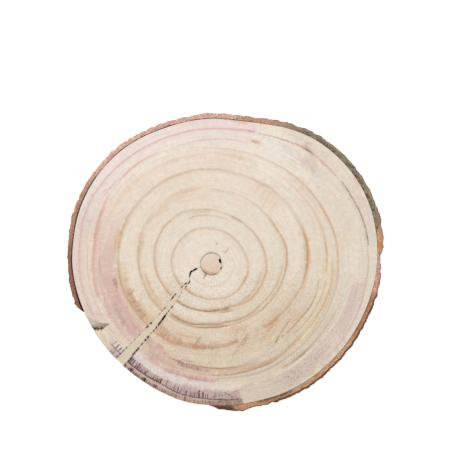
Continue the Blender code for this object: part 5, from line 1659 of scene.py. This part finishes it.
    # moss on the sawn edge: dense against the wood, thinner outwards
    moss_cut = (window(dr, 11.5, 34, 3.5, 3) * np.interp(dep_r, (0, .3, .5, .75, 1), (1.25, 1.10, .72, .42, .10))
                + window(dr, 32, 61, 3, 20) * np.interp(dep_r, (0, .35, .7, 1), (.86, .84, .55, .20))
                + window(dr, 299, 314, 2, 2) * 0.30)
    moss = np.where(o > 0.5, np.repeat(moss_out[None], rows, 0).ravel(), moss_cut)
    grey = tone((150, 126, 106)) * 0.55 + tint * 0.35
    # painted shade darkens the outside on the lower right; painted light makes it paler on the upper left
    shade_side = window(dr, 268, 366, 2, 14)[:, None]
    grey = grey * (1 - 0.55 * shade_side)
    light_side = window(dr, 60, 200, 20, 20)[:, None]
    grey = grey * (1 - light_side) + (tint * 0.78 + tone((150, 126, 106)) * 0.12) * light_side
    macro = tint * (1 - o[:, None]) + grey * o[:, None]
    # dark runs: beside the wood on the upper left and far right; outside below, the dark outer bark along the edge is
    # deepened by painted shade
    dark = (window(dr, 141, 200, 8, 1) * np.interp(dep_r, (0, .2, .45), (.60, .38, .12))
            + window(dr, 333, 350, 4, 2) * np.interp(dep_r, (0, .3, .5), (.62, .34, .10))
            + window(dr, 288, 303, 3, 3) * np.interp(dep_r, (0, .15, .35, .5), (.5, .62, .5, .15))
            + window(dr, 268.8, 279, 1, 3) * np.interp(dep_r, (0, .3, .6, 1), (.25, .55, .85, 1.1))
            + window(dr, 294.5, 349, .5, 10) * np.interp(dep_r, (0, .70, .82, 1), (0, .12, .75, 1.1))
            + window(dr, 172, 200, 14, 1) * np.interp(dep_r, (0, .3, .7, 1), (.25, .12, .25, .75))
            + window(dr, 32, 37, 4, 4) * .15 + window(dr, 4, 62, 3, 8) * np.interp(dep_r, (0, .8, 1), (.15, .25, .55)))
    dark = dark * (1 - o * 0.4)
    attrs = {
        "macro": ("COLOR", macro), "depth": ("FLOAT", dep_r),
        "relief": ("FLOAT", np.clip(relief, 0, 1).ravel()),
        "moss": ("FLOAT", moss), "dark": ("FLOAT", dark),
    }
    return make_object("bark_rim", verts, faces,
                       [bark_cut("bark_cut"), bark_outer("bark_outer"),
                        # inside face of the bark: its own colour at the sawn face, painted shade below
                        crack_wall("bark_inside", tone((150, 104, 80)), tone((52, 36, 28)))],
                       face_mat, attrs, smooth_angle=50)


# ------------------------------------------------------------ wedge and plug
def build_wedge():
    n = 170
    t = np.linspace(0, 1, n)
    mouth = float(reach(227.0))
    tip = WEDGE_TIP * U
    rbase = tip + (mouth - tip) * t
    across = np.linspace(-1, 1, 9)
    rows = [("top", a, 1.0) for a in across]
    rows += [("high", 1.0, h) for h in (0.975, 0.90, 0.72, 0.45, 0.15)]
    rows += [("under", a, 0.0) for a in across[::-1]]
    rows += [("low", -1.0, h) for h in (0.15, 0.45, 0.72, 0.90, 0.975)]
    V, edge, unshaded_face = [], [], []
    for kind, a, h in rows:
        lo = crack_edge(rbase, -1, h) + np.degrees(0.03 * MM / rbase)
        hi = crack_edge(rbase, 1, h) - np.degrees(0.03 * MM / rbase)
        topness = sstep(0.55, 0.93, h)
        lo = lo + np.degrees(opening(rbase, -1) * topness / rbase)
        hi = hi - np.degrees(opening(rbase, 1) * topness / rbase)
        lo = np.minimum(lo, (lo + hi) / 2 - 0.08)
        hi = np.maximum(hi, (lo + hi) / 2 + 0.08)
        soft = 0.05 * MM / rbase * 57.3 if (kind in ("top", "under") and abs(a) > 0.99) else 0.0
        deg = (lo + hi) / 2 + a * ((hi - lo) / 2 - soft)
        r = rbase + (reach(deg) - 0.25 * MM - (0.3 * MM if kind in ("top", "under") else 0) - mouth) * t ** 6
        z = np.full(n, 0.25 * MM) if kind == "under" else np.full(n, T * h)
        if kind == "top":
            z = T - 0.05 * MM - 0.12 * MM * (abs(a) > 0.99) - 0.10 * MM * fbm(t * 34, a * 1.5, 821, 3)
        lean = LEAN * (1 - z / T) * 0.7 * np.clip(r / (60 * MM), 0, 1)
        V.append(np.stack([r * np.cos(np.radians(deg)) + PITH[0] + lean,
                           r * np.sin(np.radians(deg)) + PITH[1] - lean, z], -1))
        # painted shade along the top edges where the crack stands open beside the wedge
        e = np.zeros(n)
        if kind == "top" and abs(a) > 0.7:
            e = np.clip(opening(rbase, 1 if a > 0 else -1) / (0.8 * MM), 0, 1) * (0.55 if abs(a) > .99 else .15)
        edge.append(e)
        # faces kept free of painted shade: the underside and the end at the rim
        s = np.full(n, 1.0 if kind == "under" else 0.0)
        s[-1] = 1.0
        unshaded_face.append(s)
    m = len(rows)
    verts = np.concatenate(V)
    faces = []
    for i in range(m):
        j = (i + 1) % m
        for k in range(n - 1):
            faces.append((i * n + k, i * n + k + 1, j * n + k + 1, j * n + k))
    for k in (0, n - 1):
        loop = [((2.0 if rows[i][0] in ("high", "low") else 1.9) * rows[i][1],
                 V[i][k][2] / MM * 0.3) for i in range(m)]
        faces += cap_faces(loop, [i * n + k for i in range(m)])
    return make_object("crack_wedge_wood", verts, faces, [pale_insert("wedge_wood")],
                       [0] * len(faces), {"edge": ("FLOAT", np.concatenate(edge)),
                                          "unshaded_face": ("FLOAT", np.concatenate(unshaded_face))}, smooth_angle=35)


def plug_reach(deg):
    """Hand-cut dowel: slightly many-sided, with a flat on its right."""
    d = np.asarray(deg, float)
    r = PLUG_R + 0.10 * MM + 0.12 * MM * np.cos(np.radians(8 * d + 30))
    flat = 2.40 * MM * window(d, 2, 31, 10, 9)
    nick = (0.55 * MM * window(d, 84, 97, 5, 5) + 0.65 * MM * window(d, 329, 342, 4, 4)
            + 0.30 * MM * window(d, 110, 150, 20, 20))
    return r - flat - nick + (fbm(d / 10.0, 0.0, 841, 3, wrap=36) - 0.5) * 0.22 * MM


def build_plug():
    n = 144
    deg = np.arange(n) * 2.5
    edge_r = plug_reach(deg)
    full = hole_reach(deg) - 0.04 * MM
    edge_r = np.minimum(edge_r, full)
    rows = []
    for f in (0.12, 0.3, 0.5, 0.68, 0.82, 0.92, 0.97):
        rows.append((edge_r * f, T - 0.10 * MM - 0.08 * MM * fbm(deg / 30, f * 3, 851, 2, wrap=12)))
    rows.append((edge_r - 0.10 * MM, np.full(n, T - 0.14 * MM)))
    rows.append((edge_r, np.full(n, T - 0.30 * MM)))
    for h, k in ((0.88, 0.0), (0.74, 0.5), (0.6, 1.0), (0.35, 1.0), (0.1, 1.0)):
        rows.append((edge_r * (1 - k) + full * k, np.full(n, T * h)))
    rows.append((full - 0.3 * MM, np.full(n, 0.25 * MM)))
    for f in (0.7, 0.35, 0.12):
        rows.append((full * f, np.full(n, 0.25 * MM)))
    V = [np.stack([r * np.cos(np.radians(deg)) + PITH[0], r * np.sin(np.radians(deg)) + PITH[1], z], -1)
         for r, z in rows]
    verts = np.concatenate(V + [np.array([[PITH[0], PITH[1], T - 0.12 * MM], [PITH[0], PITH[1], 0.25 * MM]])])
    m = len(rows)
    faces = grid_faces(m, n, close=True).tolist()
    ct, cb = m * n, m * n + 1
    for k in range(n):
        k1 = (k + 1) % n
        faces.append((ct, k, k1))
        faces.append((cb, (m - 1) * n + k1, (m - 1) * n + k))
    # painted shade on the brown rim where the plug rounds down into the gap, and an olive-brown band on the lower left;
    # the near-black crescent in the wide gap on the right is painted shadow
    edge = np.zeros(len(verts))
    edge[7 * n:9 * n] = 0.55
    edge[6 * n:7 * n] = 0.18
    low_left = window(deg, 215, 290, 16, 30)
    edge[4 * n:9 * n] += np.tile(low_left * 0.35, 5)
    shadow = window(deg, 2, 34, 6, 6)
    edge[6 * n:9 * n] += np.tile(shadow * 0.5, 3)
    col = np.tile(tone((140, 116, 80)), (len(verts), 1))
    dark = np.zeros(len(verts))
    dark[:m * n] = np.tile(shadow, m)
    col = col * (1 - dark[:, None]) + tone((60, 44, 34)) * dark[:, None]
    return make_object("pith_plug_wood", verts, faces, [plug_material("plug_wood")],
                       [0] * len(faces),
                       {"edge": ("COLOR", np.concatenate([col, np.clip(edge, 0, 1)[:, None]], 1))},
                       smooth_angle=35)


# -------------------------------------------------------------------- studio
def studio():
    scene = bpy.context.scene
    cam_data = bpy.data.cameras.new("camera")
    cam = bpy.data.objects.new("camera", cam_data)
    scene.collection.objects.link(cam)
    cam_data.sensor_width = 36.0
    cam_data.lens = 200.0
    cam_data.clip_start, cam_data.clip_end = 0.1, 20.0
    dist = 452 * U / 36.0 * 200.0
    cam.location = (1.5 * MM, 34.7 * MM, T + dist)
    cam.rotation_euler = (0, 0, 0)
    scene.camera = cam

    world = bpy.data.worlds.new("studio")
    world.use_nodes = True
    bg = world.node_tree.nodes["Background"]
    bg.inputs[0].default_value = (1.0, 0.998, 0.995, 1)
    bg.inputs[1].default_value = 0.80
    scene.world = world

    light = bpy.data.lights.new("key", "AREA")
    light.shape = "SQUARE"
    light.size = 1.0
    light.energy = 19.0
    light.color = (1.0, 0.99, 0.975)
    ob = bpy.data.objects.new("key", light)
    ob.location = (-1.0, 1.1, 1.5)
    ob.rotation_mode = "QUATERNION"
    ob.rotation_quaternion = (Vector((0, 0, 0)) - ob.location).to_track_quat("-Z", "Y")
    scene.collection.objects.link(ob)

    size = 6.0
    mesh = bpy.data.meshes.new("floor")
    mesh.from_pydata([(-size, -size, 0), (size, -size, 0), (size, size, 0), (-size, size, 0)], [],
                     [(0, 1, 2, 3)])
    floor = bpy.data.objects.new("floor", mesh)
    floor.location = (0, 0, -0.0002)
    scene.collection.objects.link(floor)
    m = Nodes("floor")
    m.bsdf.inputs["Base Color"].default_value = (0.32, 0.32, 0.32, 1)
    m.bsdf.inputs["Roughness"].default_value = 0.9
    m.bsdf.inputs["Specular IOR Level"].default_value = 0.1
    m.bsdf.inputs["Emission Color"].default_value = (1, 1, 1, 1)
    m.bsdf.inputs["Emission Strength"].default_value = 0.86
    mesh.materials.append(m.mat)

    scene.view_settings.view_transform = "Standard"
    scene.view_settings.look = "None"
    scene.view_settings.exposure = 0.0
    scene.view_settings.gamma = 1.0


# ---------------------------------------------------------------------- main
studio()
wood = build_wood()
bark = build_bark()
wedge = build_wedge()
plug = build_plug()
for piece in (wood, bark, wedge, plug):
    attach(piece, "root")
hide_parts("wood_slice")
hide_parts("wood_slice")
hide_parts("crack_wedge")
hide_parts("pith_plug")
